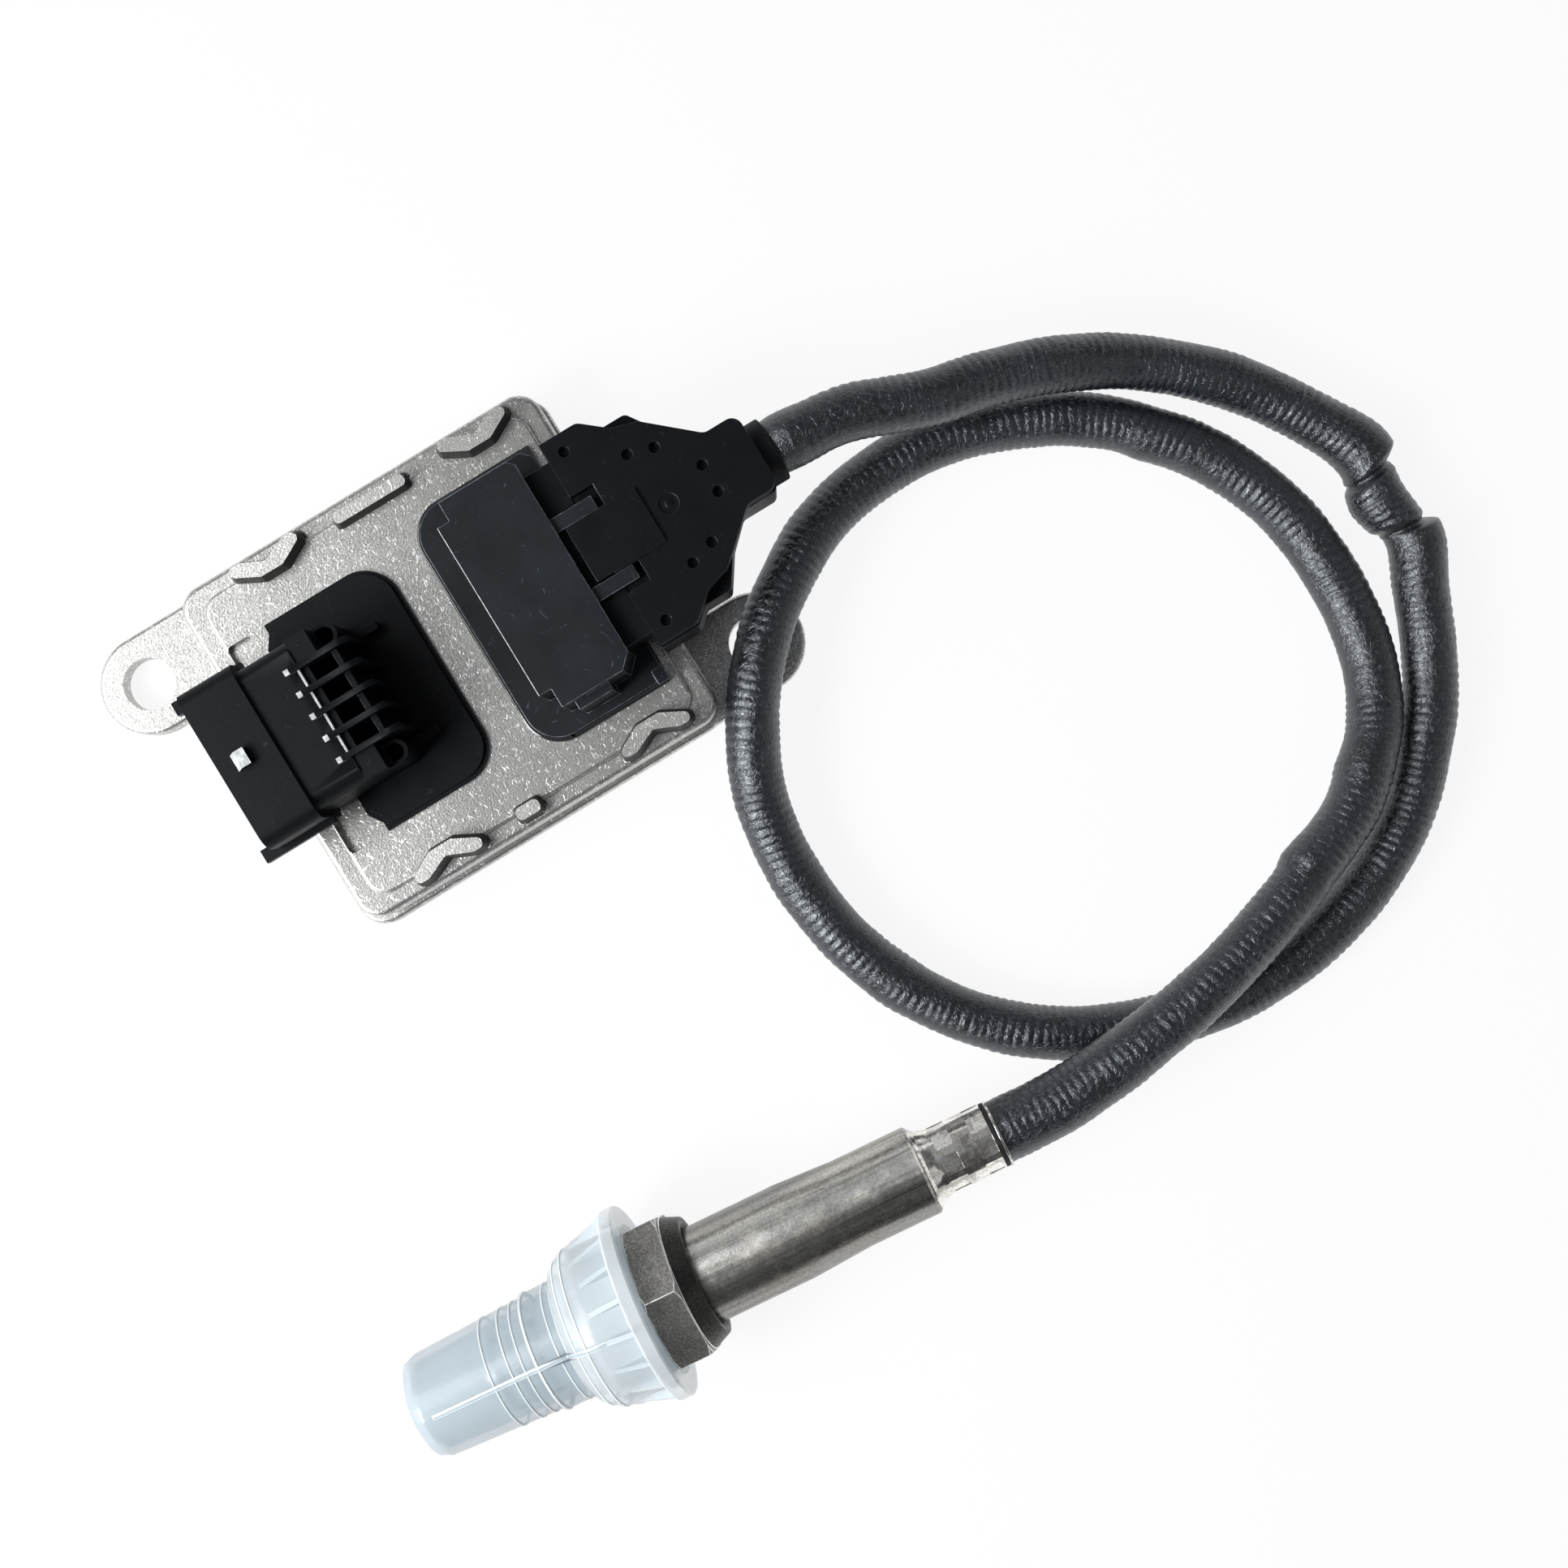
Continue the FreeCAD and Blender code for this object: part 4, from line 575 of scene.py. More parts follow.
def route_line():
    """Closely spaced points along the route's own smooth curve."""
    curve = bpy.data.curves.new("cable_line", "CURVE")
    curve.dimensions = "3D"
    spline = curve.splines.new("NURBS")
    spline.points.add(len(CABLE_ROUTE) - 1)
    for point, place in zip(spline.points, CABLE_ROUTE):
        point.co = (*place, 1)
    spline.order_u = 3
    spline.use_endpoint_u = True
    spline.resolution_u = 64
    holder = bpy.data.objects.new("cable_line", curve)
    bpy.context.scene.collection.objects.link(holder)
    line = bpy.data.meshes.new_from_object(holder)
    points = [vertex.co.copy() for vertex in line.vertices]
    bpy.data.objects.remove(holder)
    bpy.data.curves.remove(curve)
    bpy.data.meshes.remove(line)
    return points


def evenly(points, step):
    """Points at an even step along a line, with their distances."""
    length = sum((b - a).length for a, b in zip(points, points[1:]))
    count = max(2, round(length / step))
    wanted = [length * i / count for i in range(count + 1)]
    placed = []
    run = 0.0
    at = 0
    for distance in wanted:
        while at < len(points) - 2 and run + (points[at + 1] - points[at]).length < distance:
            run += (points[at + 1] - points[at]).length
            at += 1
        part = points[at + 1] - points[at]
        placed.append(points[at] + part * min(1.0, (distance - run) / max(part.length, 1e-9)))
    return placed, wanted, length


# Folds, bulges and shifts of the jacket: share of the length, side, rise, length before the peak, length after
# it, and how evenly it goes round (0 shifts the jacket sideways, 1 swells it all round).
# A side of 0 faces the inside of the turns, 0.25 down, 0.5 outwards and 0.75 up.
FOLDS = [
    (0.0045, 0.75, 0.0008, 0.0028, 0.0040, 0.4),
    (0.1850, 0.54, 0.0019, 0.0080, 0.0010, 0.3),
    (0.1965, 0.50, -0.0021, 0.0052, 0.0052, 0.0),
    (0.2085, 0.54, 0.0017, 0.0008, 0.0070, 0.2),
    (0.2270, 0.50, -0.0011, 0.0090, 0.0120, 0.0),
    (0.7215, 0.98, 0.0006, 0.0030, 0.0045, 0.3),
    (0.8505, 0.96, 0.0007, 0.0050, 0.0035, 0.3),
    (0.8845, 0.96, 0.0008, 0.0050, 0.0020, 0.3),
]
# Lengths over which the jacket widens to the probe, and over which its ribs fade in at the plug and out at the probe
ROOT_LENGTH = 0.05
FADE_IN = 0.008
FADE_OUT = 0.003
# How much of a rib shows on the whole, how much that varies, and how far a rib strays in parts of the pitch
RIB_SHOWN = 0.66
RIB_VARIES = 1.1
RIB_STRAYS = 0.34
BULGE = 0.00020
WRINKLE = 0.00006
# Spots per metre of those four unevennesses
SHOWN_SPOTS = 150
STRAY_SPOTS = 210
BULGE_SPOTS = 110
WRINKLE_SPOTS = 600
# The jacket clears the floor by this
FLOOR_GAP = 0.00002
# A fold drops steeply if it is over within this length, and then has a crease this deep and wide beside it
STEEP = 0.0015
CREASE = 0.0008
CREASE_WIDTH = 0.0006
# How far a fold wanders along the cable on its way round, and the length over which it smooths the ribs
WANDER = 0.0008
RIBLESS = 0.0022


def fold_swell(turn, distance, length):
    """How far the folds push the jacket out at a place, and how much they smooth its ribs."""
    swell = 0.0
    smoothed = 0.0
    for share, side, rise, before, after, evenness in FOLDS:
        away = distance - share * length
        if abs(away) > 3 * max(before, after):
            continue
        away += WANDER * math.cos(turn - math.tau * (side - 0.25))
        facing = evenness + (1 - evenness) * math.cos(turn - math.tau * side)
        swell += rise * facing * hump(away, 0.0, before if away < 0 else after)
        steep = after if after < before else -before
        if abs(steep) < STEEP:
            swell -= CREASE * hump(away, steep * 1.6, CREASE_WIDTH)
            smoothed = max(smoothed, hump(away, 0.0, RIBLESS))
    return swell, smoothed


def build_cable():
    """The cable's jacket: ribs of the conduit inside, two sharp folds and soft bulges where it bends."""
    sizes = settings().cable
    points, distances, length = evenly(route_line(), sizes.rib_pitch / 6)
    around = sizes.around
    vertices = []
    ridges = []
    sideways = Vector((0, -1, 0))
    for i, (point, distance) in enumerate(zip(points, distances)):
        ahead = points[min(i + 1, len(points) - 1)] - points[max(i - 1, 0)]
        ahead.normalize()
        sideways = (sideways - ahead * sideways.dot(ahead)).normalized()
        upward = ahead.cross(sideways)
        radius = sizes.diameter / 2
        radius += (sizes.root_diameter - sizes.diameter) / 2 * (1 - smooth_step(0.0, ROOT_LENGTH, length - distance))
        fade = smooth_step(0.0, FADE_IN, distance) * smooth_step(0.0, FADE_OUT, length - distance)
        for j in range(around):
            turn = math.tau * j / around
            outward = sideways * math.cos(turn) + upward * math.sin(turn)
            skin = point + outward * radius
            depth = fade * (RIB_SHOWN + RIB_VARIES * noise.noise(skin * SHOWN_SPOTS))
            phase = distance / sizes.rib_pitch + RIB_STRAYS * noise.noise(skin * STRAY_SPOTS)
            rib = abs(math.cos(math.pi * phase))
            folded, smoothed = fold_swell(turn, distance, length)
            ridge = max(0.0, min(1.0, depth * (1 - 0.85 * smoothed))) * rib
            swell = BULGE * noise.noise(skin * BULGE_SPOTS) + WRINKLE * noise.noise(skin * WRINKLE_SPOTS)
            reach = radius + sizes.rib_height * (ridge - 0.6) + swell + folded
            place = point + outward * reach
            place.z = max(place.z, FLOOR_GAP)
            vertices.append(place)
            ridges.append(ridge)
    faces = []
    for i in range(len(points) - 1):
        for j in range(around):
            k = (j + 1) % around
            faces.append((i * around + j, i * around + k, (i + 1) * around + k, (i + 1) * around + j))
    faces.append(tuple(reversed(range(around))))
    faces.append(tuple(range((len(points) - 1) * around, len(points) * around)))
    mesh = bpy.data.meshes.new("cable_jacket")
    mesh.from_pydata([tuple(v) for v in vertices], [], faces)
    attribute = mesh.attributes.new("ridge", "FLOAT", "POINT")
    attribute.data.foreach_set("value", ridges)
    mesh.materials.append(cable_jacket("cable_jacket", sizes.colour))
    piece = bpy.data.objects.new("cable_jacket", mesh)
    bpy.context.scene.collection.objects.link(piece)
    pick(piece)
    bpy.ops.object.mode_set(mode="EDIT")
    bpy.ops.mesh.select_all(action="SELECT")
    bpy.ops.mesh.normals_make_consistent(inside=False)
    bpy.ops.object.mode_set(mode="OBJECT")
    smooth(piece, 60)
    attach(piece, "sensor")
    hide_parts("cable")


# Control unit


# How much brighter than the plate the casting is: on its edges, partly rubbed and partly a painted highlight; on its
# boss tops, where it has been rubbed; on its left-facing roundings, a painted highlight where the key light falls
EDGE_LIFT = 1.3
BOSS_TOP_LIFT = 1.35
LEFT_HIGHLIGHT_LIFT = 1.45
# The bosses' walls and tops lie above these heights, and further than this from the frame's X axis
BOSS_WALLS = 0.0131
BOSS_TOPS = 0.0151
BOSS_SIDE = 0.0235


def build_housing():
    """The casting: edges lighter, partly rubbed and partly painted highlight; boss tops rubbed bright; left side
    painted highlight; boss walls painted shade.
    """
    sizes = settings().unit
    skin = cast_aluminium("cast_aluminium", sizes.casting)
    # Its rounded edges lighter, partly rubbed and partly a painted highlight
    edges = cast_aluminium("cast_aluminium_edges", sizes.casting, EDGE_LIFT)
    piece = dressed("housing", "housing_casting", sizes.casting_edge, [skin, edges], 3)
    tops = cast_aluminium("cast_boss_tops", sizes.casting, BOSS_TOP_LIFT)
    # Painted highlight on the left-facing roundings, where the key light falls
    rubbed = cast_aluminium("cast_left_painted_highlight", sizes.casting, LEFT_HIGHLIGHT_LIFT)
    # Painted shade on the steep walls of the bosses
    walls = painted_shade_skin("cast_walls_painted_shade", shade(sizes.casting, 0.07))

    def on_lit_left_rounding(place, normal):
        return normal.x < -0.2 and 0.2 < normal.z < 0.96

    def on_shaded_boss_wall(place, normal):
        return place.z > BOSS_WALLS and abs(place.y) > BOSS_SIDE and -0.1 < normal.z < 0.55

    def on_boss_top(place, normal):
        return place.z > BOSS_TOPS and abs(place.y) > BOSS_SIDE and normal.z > 0.9

    mark_faces(piece, tops, on_boss_top)
    mark_faces(piece, rubbed, on_lit_left_rounding)
    mark_faces(piece, walls, on_shaded_boss_wall)


# Cuts over the connector where the painted highlight ends: the frame's X, and the height above which faces are cut
TIP_CUT = (-0.0181, 0.0294)
BLOCK_CUT = (-0.01715, 0.0290)
WEB_CUT = (-0.01185, 0.0280)
# Boxes in the frame, lowest and highest corner, round the nub, the fin tips and the rims of block and webs that get
# a painted highlight
NUB = ((-1.0, -1.0, 0.0303), (-0.028, 1.0, 1.0))
FIN_TIPS = ((-0.0192, -0.009, 0.0292), (TIP_CUT[0] + 0.0001, 0.009, 1.0))
BLOCK_RIM = ((BLOCK_CUT[0] - 0.0001, -0.0076, 0.0285), (-0.0165, 0.0076, 0.0294))
WEB_RIM = ((WEB_CUT[0] - 0.0001, -0.0076, 0.0276), (-0.0112, 0.0076, 0.0294))


def cut_across(piece, x, above):
    """A cut across the faces above a height, so that their ends can take a finish of their own."""
    pick(piece)
    for polygon in piece.data.polygons:
        polygon.select = polygon.center.z > above
    bpy.ops.object.mode_set(mode="EDIT")
    bpy.ops.mesh.bisect(plane_co=(x, 0, 0), plane_no=(1, 0, 0))
    bpy.ops.object.mode_set(mode="OBJECT")


def build_vehicle_connector():
    """The five-way connector with its fins, and a pale painted highlight on its nub, fin tips and the rims of block
    and webs.
    """
    sizes = settings().unit
    skin = moulded_plastic("moulded_black", sizes.moulding)
    edges = worn_highlit_plastic("moulded_black_edges", sizes.moulding)
    piece = dressed("vehicle_connector", "vehicle_connector_moulding", sizes.moulding_edge, [skin, edges])
    for x, above in (TIP_CUT, BLOCK_CUT, WEB_CUT):
        cut_across(piece, x, above)

    def catches_highlight(place, normal):
        if inside(place, NUB):
            return normal.z > 0.3 or normal.x < -0.3
        if inside(place, BLOCK_RIM) or inside(place, WEB_RIM):
            return max(normal.z, normal.x) > 0.3
        return inside(place, FIN_TIPS)

    # Painted highlight on the faces that catch the light
    mark_faces(piece, pale_highlight_paint("pale_painted_highlight"), catches_highlight)


# The rim of the header's mouth that gets a painted highlight: a box in the frame
HEADER_RIM = ((0.0111, -1.0, 0.0276), (0.0119, 1.0, 1.0))


def build_header():
    """The sensor header's block and the wet-looking bead round its foot."""
    sizes = settings().unit
    skin = moulded_plastic("header_black", sizes.header, 0.40, 0.3)
    # Its edges much paler: partly wear and partly a painted highlight
    edges = worn_highlit_plastic("header_black_edges", sizes.header, 11.0)
    piece = dressed("sensor_header", "sensor_header_moulding", sizes.moulding_edge * 1.4, [skin, edges])
    # Painted highlight along the rim of the header's mouth
    mark_faces(piece, pale_highlight_paint("header_painted_highlight"), lambda place, normal: inside(place, HEADER_RIM))
    bead = dressed("header_seal", "header_seal_bead", 0.00035, [wet_seal("seal_gloss")], 4)


def build_plug():
    """The sensor plug: lower body, upper cover and the collar that holds the cable."""
    sizes = settings().unit
    skin = moulded_plastic("plug_black", sizes.moulding, 0.44, 0.2)
    edges = worn_highlit_plastic("plug_black_edges", sizes.moulding)
    dressed("plug_body", "plug_body_moulding", sizes.moulding_edge, [skin, edges])
    cover = dressed("plug_cover", "plug_cover_moulding", sizes.moulding_edge, [skin, edges])
    rubber = soft_rubber("collar_rubber", (0.0045, 0.0052, 0.0064))
    collar = dressed("plug_collar", "plug_collar_moulding", 0.0003, [rubber], 3)


# Probe


# The nut's thread: radii of crest and root, where it starts along the probe and its turns; where the hexagon ends
THREAD_CREST = 10.0
THREAD_ROOT = 9.15
THREAD_START = -9.7
THREAD_TURNS = 5
HEX_END = 5.9
# The nut spins freely; it lies turned by this much
NUT_TURN = math.radians(-11)


def along_probe(place):
    """Distance along the probe's axis from the nut's front face and radius from it, in millimetres."""
    own = PROBE.inverted() @ place
    return own.x / MM, math.hypot(own.y, own.z) / MM


def build_nut():
    """The gland nut: its plain thread diameter turned down to the root, and a helical thread round it."""
    sizes = settings().probe
    steel = gunmetal("nut_steel", sizes.nut)
    # Its edges much lighter: a painted highlight between the facets
    edges = gunmetal("nut_steel_painted_highlight", shade(sizes.nut, 3.6))
    piece = dressed("gland_nut", "gland_nut_turned", 0.0002, [steel, edges], 2, 24)
    inverse = PROBE.inverted()
    piece.data.transform(PROBE @ Matrix.Rotation(NUT_TURN, 4, "X") @ inverse)
    for vertex in piece.data.vertices:
        own = inverse @ vertex.co
        distance, radius = along_probe(vertex.co)
        if distance < 0 and abs(radius - THREAD_CREST) < 0.25:
            own.yz = own.yz * (THREAD_ROOT / radius)
            vertex.co = PROBE @ own
    # Painted shade on the nut's rear, behind the hexagon
    mark_faces(piece, gunmetal("nut_steel_shaded", shade(sizes.nut, 0.18)),
               lambda place, normal: along_probe(place)[0] > HEX_END)

    # One tooth's section: a narrow crest on a foot that reaches just under the root
    pitch = sizes.thread_pitch / MM
    foot, crest = 0.42 * pitch, 0.07 * pitch
    sunk = THREAD_ROOT - 0.05
    section = [(-foot, sunk), (-crest, THREAD_CREST), (crest, THREAD_CREST), (foot, sunk)]
    thread = from_outline("gland_nut_thread", 4, [(THREAD_START + x, 0, r) for x, r in section])
    apply_modifier(thread, "SCREW", axis="X", screw_offset=sizes.thread_pitch, iterations=THREAD_TURNS,
                   steps=48, render_steps=48, use_merge_vertices=False)
    close_up(thread)
    thread.data.materials.append(steel)
    on_probe(thread)


def build_sleeve():
    """The sleeve, crimped tail, rubber end and thin steel ring."""
    sizes = settings().probe
    # The sleeve carries strong painted light and shade across it; the tail carries faint painted light and shade,
    # and painted glints
    steel = turned_steel("sleeve_steel", sizes.sleeve, roughness=0.26, warmth=0.3, contrast=0.62,
                         reach=SLEEVE_LIGHT_HALF_WIDTH, depth=0.92, glint_share=0.0)
    dressed("sensor_sleeve", "sensor_sleeve_drawn", 0.00015, [steel], 2)
    bright = turned_steel("tail_steel", shade(sizes.tail, 1.15), roughness=0.14, warmth=0.2, contrast=0.4,
                          reach=TAIL_LIGHT_HALF_WIDTH, depth=0.1, glint_share=0.5)
    dressed("crimped_tail", "crimped_tail_pressed", 0.00012, [bright], 3, 20, 50)
    dressed("retaining_ring", "retaining_ring_steel", 0.00008, [bright], 2)
    rubber = soft_rubber("grommet_rubber")
    dressed("cable_grommet", "cable_grommet_rubber", 0.0001, [rubber], 2)


# The cap's outer line: distance from the nut's front face and radius
CAP_LINE = [(-40.2, 5.9), (-37.8, 8.25), (-19.6, 9.05), (-18.8, 9.45), (-13.8, 9.45), (-13.05, 10.99),
            (-10.9, 12.61), (-8.0, 13.5), (-2.4, 13.5)]
# Fine moulded rings: distance, width and height
CAP_RINGS = [(-26.0, 0.42, 0.13), (-22.8, 0.42, 0.13), (-20.7, 0.42, 0.13), (-18.7, 0.70, 0.18),
             (-15.0, 0.42, 0.12), (-13.6, 0.60, 0.16), (-12.0, 0.45, 0.13), (-10.2, 0.50, 0.14)]
CAP_RIB_WIDTH = 0.85
CAP_RIB_HEIGHT = 0.26
CAP_RIB_ENDS = (-36.5, -2.4)
# Where the cap's plain tube ends and its stepped part begins
CAP_STEP = -13.8
DOME_COLOUR = (0.72, 0.80, 0.84)
FLANGE_COVER = 0.42


def cap_radius(distance):
    """The cap's outer radius at a distance along the probe."""
    for (start, low), (end, high) in zip(CAP_LINE, CAP_LINE[1:]):
        if start <= distance <= end:
            return low + (high - low) * (distance - start) / (end - start)
    return CAP_LINE[-1][1]


def build_cap_rings(material):
    """The fine rings moulded round the cap, each spun from its own small section."""
    for number, (distance, width, height) in enumerate(CAP_RINGS):
        steps = (-width / 2, -width / 4, width / 4, width / 2)
        section = [(distance + step, cap_radius(distance + step) + rise)
                   for step, rise in zip(steps, (-0.3, height, height, -0.3))]
        ring = from_outline("cap_ring_" + str(number), 4, [(x, 0, r) for x, r in section])
        bpy.ops.object.mode_set(mode="EDIT")
        bpy.ops.mesh.select_all(action="SELECT")
        bpy.ops.mesh.spin(steps=96, angle=math.tau, center=(0, 0, 0), axis=(1, 0, 0))
        bpy.ops.object.mode_set(mode="OBJECT")
        close_up(ring)
        ring.data.materials.append(material)
        on_probe(ring)


def build_cap_rib(material, edges):
    """The seam rib along the top of the cap, a side outline pulled out to its width."""
    first, last = CAP_RIB_ENDS
    stops = [first] + [distance for distance, radius in CAP_LINE if first < distance < last] + [last]
    top = [(distance, -CAP_RIB_WIDTH / 2, cap_radius(distance) + CAP_RIB_HEIGHT) for distance in stops]
    bottom = [(distance, -CAP_RIB_WIDTH / 2, cap_radius(distance) - 0.4) for distance in reversed(stops)]
    rib = from_outline("cap_rib", len(top + bottom), top + bottom)
    bpy.ops.object.mode_set(mode="EDIT")
    bpy.ops.mesh.select_all(action="SELECT")
    bpy.ops.mesh.edge_face_add()
    bpy.ops.mesh.extrude_region_move(TRANSFORM_OT_translate={"value": (0, CAP_RIB_WIDTH * MM, 0)})
    bpy.ops.object.mode_set(mode="OBJECT")
    close_up(rib)
    rib.data.materials.append(material)
    rib.data.materials.append(edges)
    apply_modifier(rib, "BEVEL", width=0.00016, segments=2, limit_method="ANGLE", angle_limit=math.radians(40),
                   material=1)
    on_probe(rib)


def build_cap():
    """The translucent cap, its edges and flange milkier, with its moulded rib and rings."""
    sizes = settings().probe
    clear = clear_plastic("clear_cap", sizes.cap, sizes.cap_cover)
    milky = clear_plastic("clear_cap_edges", sizes.cap_edge, sizes.edge_cover)
    piece = dressed("protective_cap", "protective_cap_moulding", 0.00022, [clear, milky], 2, 30)
    dome = clear_plastic("clear_cap_dome", DOME_COLOUR, sizes.cap_cover)
    flange = clear_plastic("clear_cap_flange", sizes.cap_edge, FLANGE_COVER)
    flange_start, flange_root = CAP_LINE[-1]

    def on_dome(place, normal):
        return along_probe(place)[0] > CAP_STEP + 0.1

    def on_flange(place, normal):
        distance, radius = along_probe(place)
        return distance > flange_start - 0.1 and radius > flange_root + 0.05

    mark_faces(piece, dome, on_dome, skin_only=True)
    mark_faces(piece, flange, on_flange)
    build_cap_rings(milky)
    build_cap_rib(clear, milky)


# Held inside


INNER_FINISHES = {
    "base_cover": ("cover_sheet", (0.50, 0.50, 0.49), 0.38, 1.0),
    "base_gasket": ("gasket_rubber", (0.02, 0.02, 0.022), 0.6, 0.0),
    "circuit_board": ("board_green", (0.02, 0.13, 0.05), 0.35, 0.0),
    "board_screws": ("screw_zinc", (0.60, 0.60, 0.61), 0.3, 1.0),
    "board_components": ("chip_black", (0.025, 0.025, 0.027), 0.45, 0.0),
    "vehicle_pins": ("contact_tin", (0.66, 0.64, 0.60), 0.25, 1.0),
    "vehicle_seal": ("inner_seal_rubber", (0.02, 0.02, 0.022), 0.6, 0.0),
    "header_pins": ("needle_tin", (0.66, 0.64, 0.60), 0.25, 1.0),
    "plug_terminals": ("terminal_tin", (0.66, 0.64, 0.60), 0.25, 1.0),
    "sensor_body": ("seat_steel", (0.45, 0.44, 0.42), 0.3, 1.0),
    "outer_protection_tube": ("shield_steel", (0.74, 0.74, 0.75), 0.4, 1.0),
    "inner_protection_tube": ("inner_shield_steel", (0.45, 0.45, 0.45), 0.3, 1.0),
    "sensing_element": ("element_ceramic", (0.78, 0.77, 0.72), 0.5, 0.0),
    "front_insulator": ("front_ceramic", (0.80, 0.79, 0.75), 0.5, 0.0),
    "powder_seal": ("pressed_powder", (0.62, 0.61, 0.56), 0.8, 0.0),
    "rear_insulator": ("rear_ceramic", (0.80, 0.79, 0.75), 0.5, 0.0),
    "contact_holder": ("holder_ceramic", (0.78, 0.77, 0.73), 0.5, 0.0),
    "contact_clips": ("clip_tin", (0.66, 0.64, 0.60), 0.25, 1.0),
    "lead_cores": ("core_red", (0.30, 0.03, 0.03), 0.5, 0.0),
}


def build_inner_pieces():
    """Finishes for the pieces inside the unit and the probe."""
    for node, (name, colour, roughness, metallic) in INNER_FINISHES.items():
        piece = frame["nodes"][node]
        piece.data.materials.clear()
        piece.data.materials.append(plain_finish(name, colour, roughness, metallic))


# Stage


# The middle of the floor, the point that the camera looks at and the point that the lights face
FLOOR_MIDDLE = (0.04, -0.045, 0.0)
VIEW_MIDDLE = (0.03578, -0.04466)
LIT_POINT = (0.035, -0.045, 0.0)
# Softboxes: name, place, length, width and share of the key light's power
SOFTBOXES = [
    ("key_softbox", (-0.364, -0.048, 0.34), 0.17, 0.23, 1.0),
    ("top_softbox", (-0.42, 0.25, 0.60), 0.44, 0.44, 1.02),
    ("fill_softbox", (0.50, -0.40, 0.45), 0.5, 0.5, 0.13),
]
# The side of the room that is lighter, and how strong its light is on the far side and on that side
WINDOW_SIDE = (-0.6, 0.8, 0.0)
ROOM_LIGHT = (0.03, 0.36)
# How much of the floor's look to the camera is plain white
FLOOR_GLOW = 0.90
BACKDROP_RADIUS = 5.9
BACKDROP_HEIGHT = 1.2


def softbox(name, place, size, size_y, power):
    """An area light that faces the object."""
    light = bpy.data.lights.new(name, "AREA")
    light.shape = "RECTANGLE"
    light.size = size
    light.size_y = size_y
    light.energy = power
    lamp = bpy.data.objects.new(name, light)
    lamp.location = place
    lamp.rotation_euler = (Vector(LIT_POINT) - Vector(place)).to_track_quat("-Z", "Y").to_euler()
    bpy.context.scene.collection.objects.link(lamp)


def white_to_the_camera(nodes, links, seen, other, share):
    """Mixes one shader in where the camera sees it straight, by reflection or through something clear."""
    path = nodes.new("ShaderNodeLightPath")
    direct = path.outputs["Is Camera Ray"]
    for ray in ("Is Glossy Ray", "Is Transmission Ray"):
        either = nodes.new("ShaderNodeMath")
        either.operation = "MAXIMUM"
        links.new(direct, either.inputs[0])
        links.new(path.outputs[ray], either.inputs[1])
        direct = either.outputs[0]
    part = nodes.new("ShaderNodeMath")
    part.operation = "MULTIPLY"
    part.inputs[1].default_value = share
    links.new(direct, part.inputs[0])
    mix = nodes.new("ShaderNodeMixShader")
    links.new(part.outputs[0], mix.inputs[0])
    links.new(other, mix.inputs[1])
    links.new(seen, mix.inputs[2])
    return mix.outputs[0]


def floor_paint(colour):
    """Matt white that stays white to the camera however the light falls."""
    paint = bpy.data.materials.new("floor_white")
    paint.use_nodes = True
    nodes, links = paint.node_tree.nodes, paint.node_tree.links
    diffuse = nodes["Principled BSDF"]
    diffuse.inputs["Base Color"].default_value = (*colour[:3], 1)
    diffuse.inputs["Roughness"].default_value = 0.9
    glow = nodes.new("ShaderNodeEmission")
    surface = white_to_the_camera(nodes, links, glow.outputs[0], diffuse.outputs[0], FLOOR_GLOW)
    links.new(surface, nodes["Material Output"].inputs["Surface"])
    return paint


def build_floor(colour):
    """The white floor and the low backdrop round it."""
    paint = floor_paint(colour)
    deselect()
    bpy.ops.mesh.primitive_plane_add(size=12.0, location=FLOOR_MIDDLE)
    floor = bpy.context.object
    deselect()
    bpy.ops.mesh.primitive_cylinder_add(vertices=128, radius=BACKDROP_RADIUS, depth=BACKDROP_HEIGHT,
                                        end_fill_type="NOTHING",
                                        location=(*FLOOR_MIDDLE[:2], BACKDROP_HEIGHT / 2))
    backdrop = bpy.context.object
    for piece, name in ((floor, "floor"), (backdrop, "backdrop")):
        piece.name = piece.data.name = name
        piece.data.materials.append(paint)


def build_room():
    """Weak light from all round, stronger on the window's side."""
    world = bpy.data.worlds.new("studio")
    bpy.context.scene.world = world
    world.use_nodes = True
    nodes, links = world.node_tree.nodes, world.node_tree.links
    ambient = nodes["Background"]
    ambient.inputs["Color"].default_value = (0.97, 0.985, 1.0, 1)
    place = nodes.new("ShaderNodeTexCoord")
    towards = nodes.new("ShaderNodeVectorMath")
    towards.operation = "DOT_PRODUCT"
    towards.inputs[1].default_value = WINDOW_SIDE
    links.new(place.outputs["Generated"], towards.inputs[0])
    level = nodes.new("ShaderNodeMapRange")
    level.inputs["From Min"].default_value = -1.0
    level.inputs["To Min"].default_value, level.inputs["To Max"].default_value = ROOM_LIGHT
    links.new(towards.outputs["Value"], level.inputs["Value"])
    links.new(level.outputs["Result"], ambient.inputs["Strength"])


def build_camera(sizes):
    """The camera, looking straight down."""
    scene = bpy.context.scene
    camera = bpy.data.cameras.new("camera")
    camera.lens = sizes.lens
    camera.sensor_width = 36.0
    camera.clip_start = 0.01
    holder = bpy.data.objects.new("camera", camera)
    holder.location = (*VIEW_MIDDLE, sizes.height)
    holder.rotation_euler = (0, 0, sizes.turn)
    scene.collection.objects.link(holder)
    scene.camera = holder
    scene.view_settings.view_transform = "Standard"


def build_stage():
    """White floor with a low backdrop round it, soft light from the left, and the camera straight above."""
    sizes = settings().stage
    build_floor(sizes.floor)
    build_room()
    for name, place, size, size_y, share in SOFTBOXES:
        softbox(name, place, size, size_y, sizes.key * share)
    build_camera(sizes)


# Operators and panel


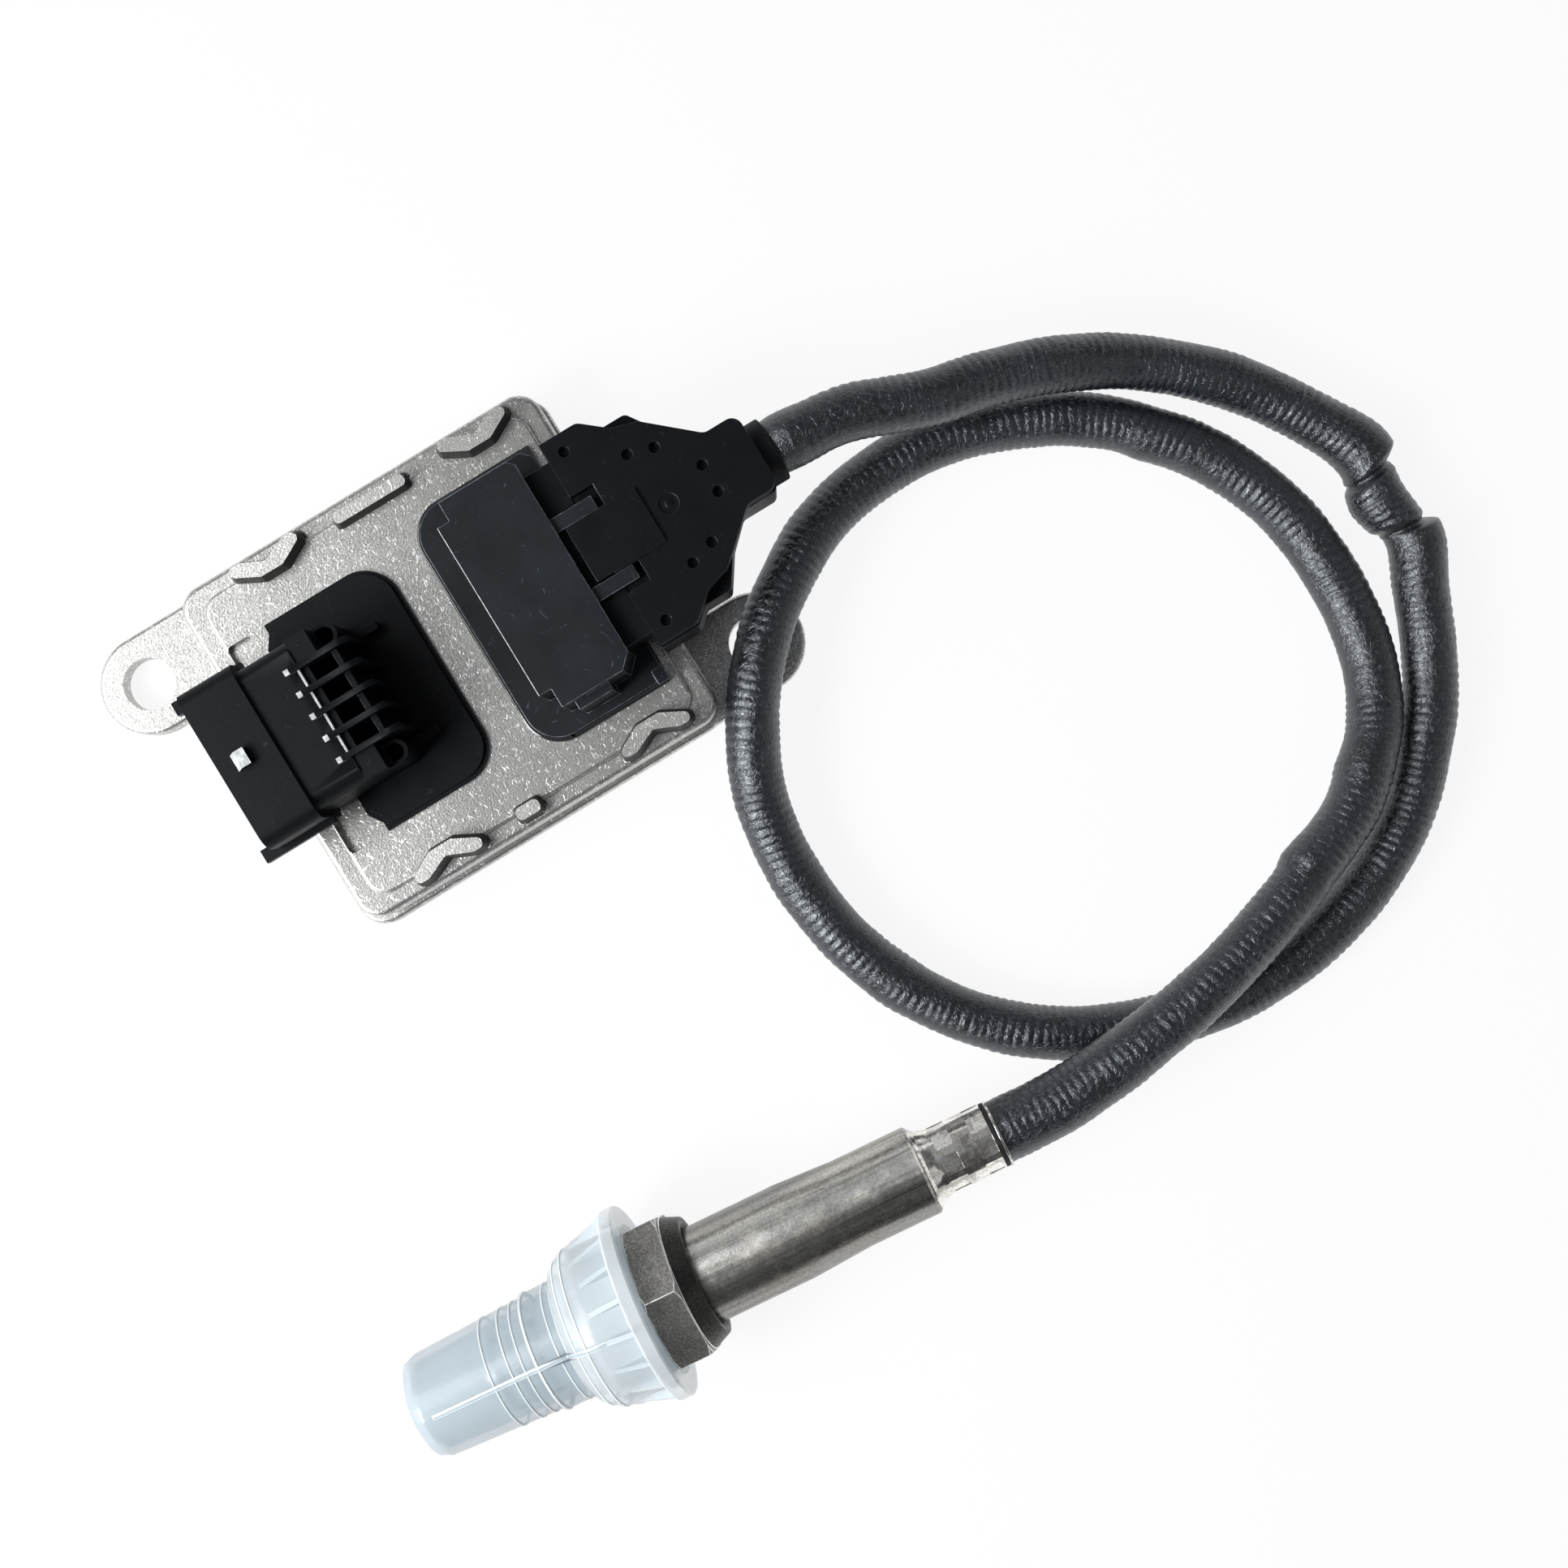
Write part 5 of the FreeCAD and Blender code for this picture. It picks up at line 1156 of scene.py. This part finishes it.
class BuildOperator:
    bl_options = {"REGISTER", "UNDO"}


class EXHAUST_OT_cable(BuildOperator, Operator):
    """Add the ribbed cable"""
    bl_idname = "exhaust_sensor.cable"
    bl_label = "Cable"

    def execute(self, context):
        build_cable()
        return {"FINISHED"}


class EXHAUST_OT_housing(BuildOperator, Operator):
    """Add the cast housing"""
    bl_idname = "exhaust_sensor.housing"
    bl_label = "Housing"

    def execute(self, context):
        build_housing()
        return {"FINISHED"}


class EXHAUST_OT_vehicle_connector(BuildOperator, Operator):
    """Add the five-way vehicle connector"""
    bl_idname = "exhaust_sensor.vehicle_connector"
    bl_label = "Vehicle Connector"

    def execute(self, context):
        build_vehicle_connector()
        return {"FINISHED"}


class EXHAUST_OT_header(BuildOperator, Operator):
    """Add the sensor header and its seal"""
    bl_idname = "exhaust_sensor.header"
    bl_label = "Sensor Header"

    def execute(self, context):
        build_header()
        return {"FINISHED"}


class EXHAUST_OT_plug(BuildOperator, Operator):
    """Add the sensor plug"""
    bl_idname = "exhaust_sensor.plug"
    bl_label = "Sensor Plug"

    def execute(self, context):
        build_plug()
        return {"FINISHED"}


class EXHAUST_OT_nut(BuildOperator, Operator):
    """Add the gland nut"""
    bl_idname = "exhaust_sensor.nut"
    bl_label = "Gland Nut"

    def execute(self, context):
        build_nut()
        return {"FINISHED"}


class EXHAUST_OT_sleeve(BuildOperator, Operator):
    """Add the sleeve and crimped tail"""
    bl_idname = "exhaust_sensor.sleeve"
    bl_label = "Sleeve and Tail"

    def execute(self, context):
        build_sleeve()
        return {"FINISHED"}


class EXHAUST_OT_cap(BuildOperator, Operator):
    """Add the protective cap"""
    bl_idname = "exhaust_sensor.cap"
    bl_label = "Protective Cap"

    def execute(self, context):
        build_cap()
        return {"FINISHED"}


class EXHAUST_OT_inner(BuildOperator, Operator):
    """Finish the pieces held inside"""
    bl_idname = "exhaust_sensor.inner"
    bl_label = "Inner Pieces"

    def execute(self, context):
        build_inner_pieces()
        return {"FINISHED"}


class EXHAUST_OT_stage(BuildOperator, Operator):
    """Add the floor, the lights and the camera"""
    bl_idname = "exhaust_sensor.stage"
    bl_label = "Stage"

    def execute(self, context):
        build_stage()
        return {"FINISHED"}


BUILDERS = [EXHAUST_OT_stage, EXHAUST_OT_cable, EXHAUST_OT_housing, EXHAUST_OT_vehicle_connector,
            EXHAUST_OT_header, EXHAUST_OT_plug, EXHAUST_OT_nut, EXHAUST_OT_sleeve, EXHAUST_OT_cap,
            EXHAUST_OT_inner]


class EXHAUST_PT_panel(Panel):
    """Buttons and sizes of the exhaust sensor"""
    bl_idname = "EXHAUST_PT_panel"
    bl_label = "Exhaust Sensor"
    bl_space_type = "VIEW_3D"
    bl_region_type = "UI"
    bl_category = "Exhaust Sensor"

    def draw(self, context):
        layout = self.layout
        for builder in BUILDERS:
            layout.operator(builder.bl_idname)
        for name in ("cable", "unit", "probe", "stage"):
            group = getattr(settings(), name)
            column = layout.column()
            column.label(text=name.title())
            for key in group.__annotations__:
                column.prop(group, key)


CLASSES = [CableSettings, UnitSettings, ProbeSettings, StageSettings, SensorSettings, *BUILDERS, EXHAUST_PT_panel]


def register():
    for cls in CLASSES:
        bpy.utils.register_class(cls)
    bpy.types.Scene.exhaust_sensor = PointerProperty(type=SensorSettings)


def unregister():
    del bpy.types.Scene.exhaust_sensor
    for cls in reversed(CLASSES):
        bpy.utils.unregister_class(cls)


def main():
    register()
    for builder in BUILDERS:
        group, name = builder.bl_idname.split(".")
        getattr(getattr(bpy.ops, group), name)()


if __name__ == "__main__":
    main()
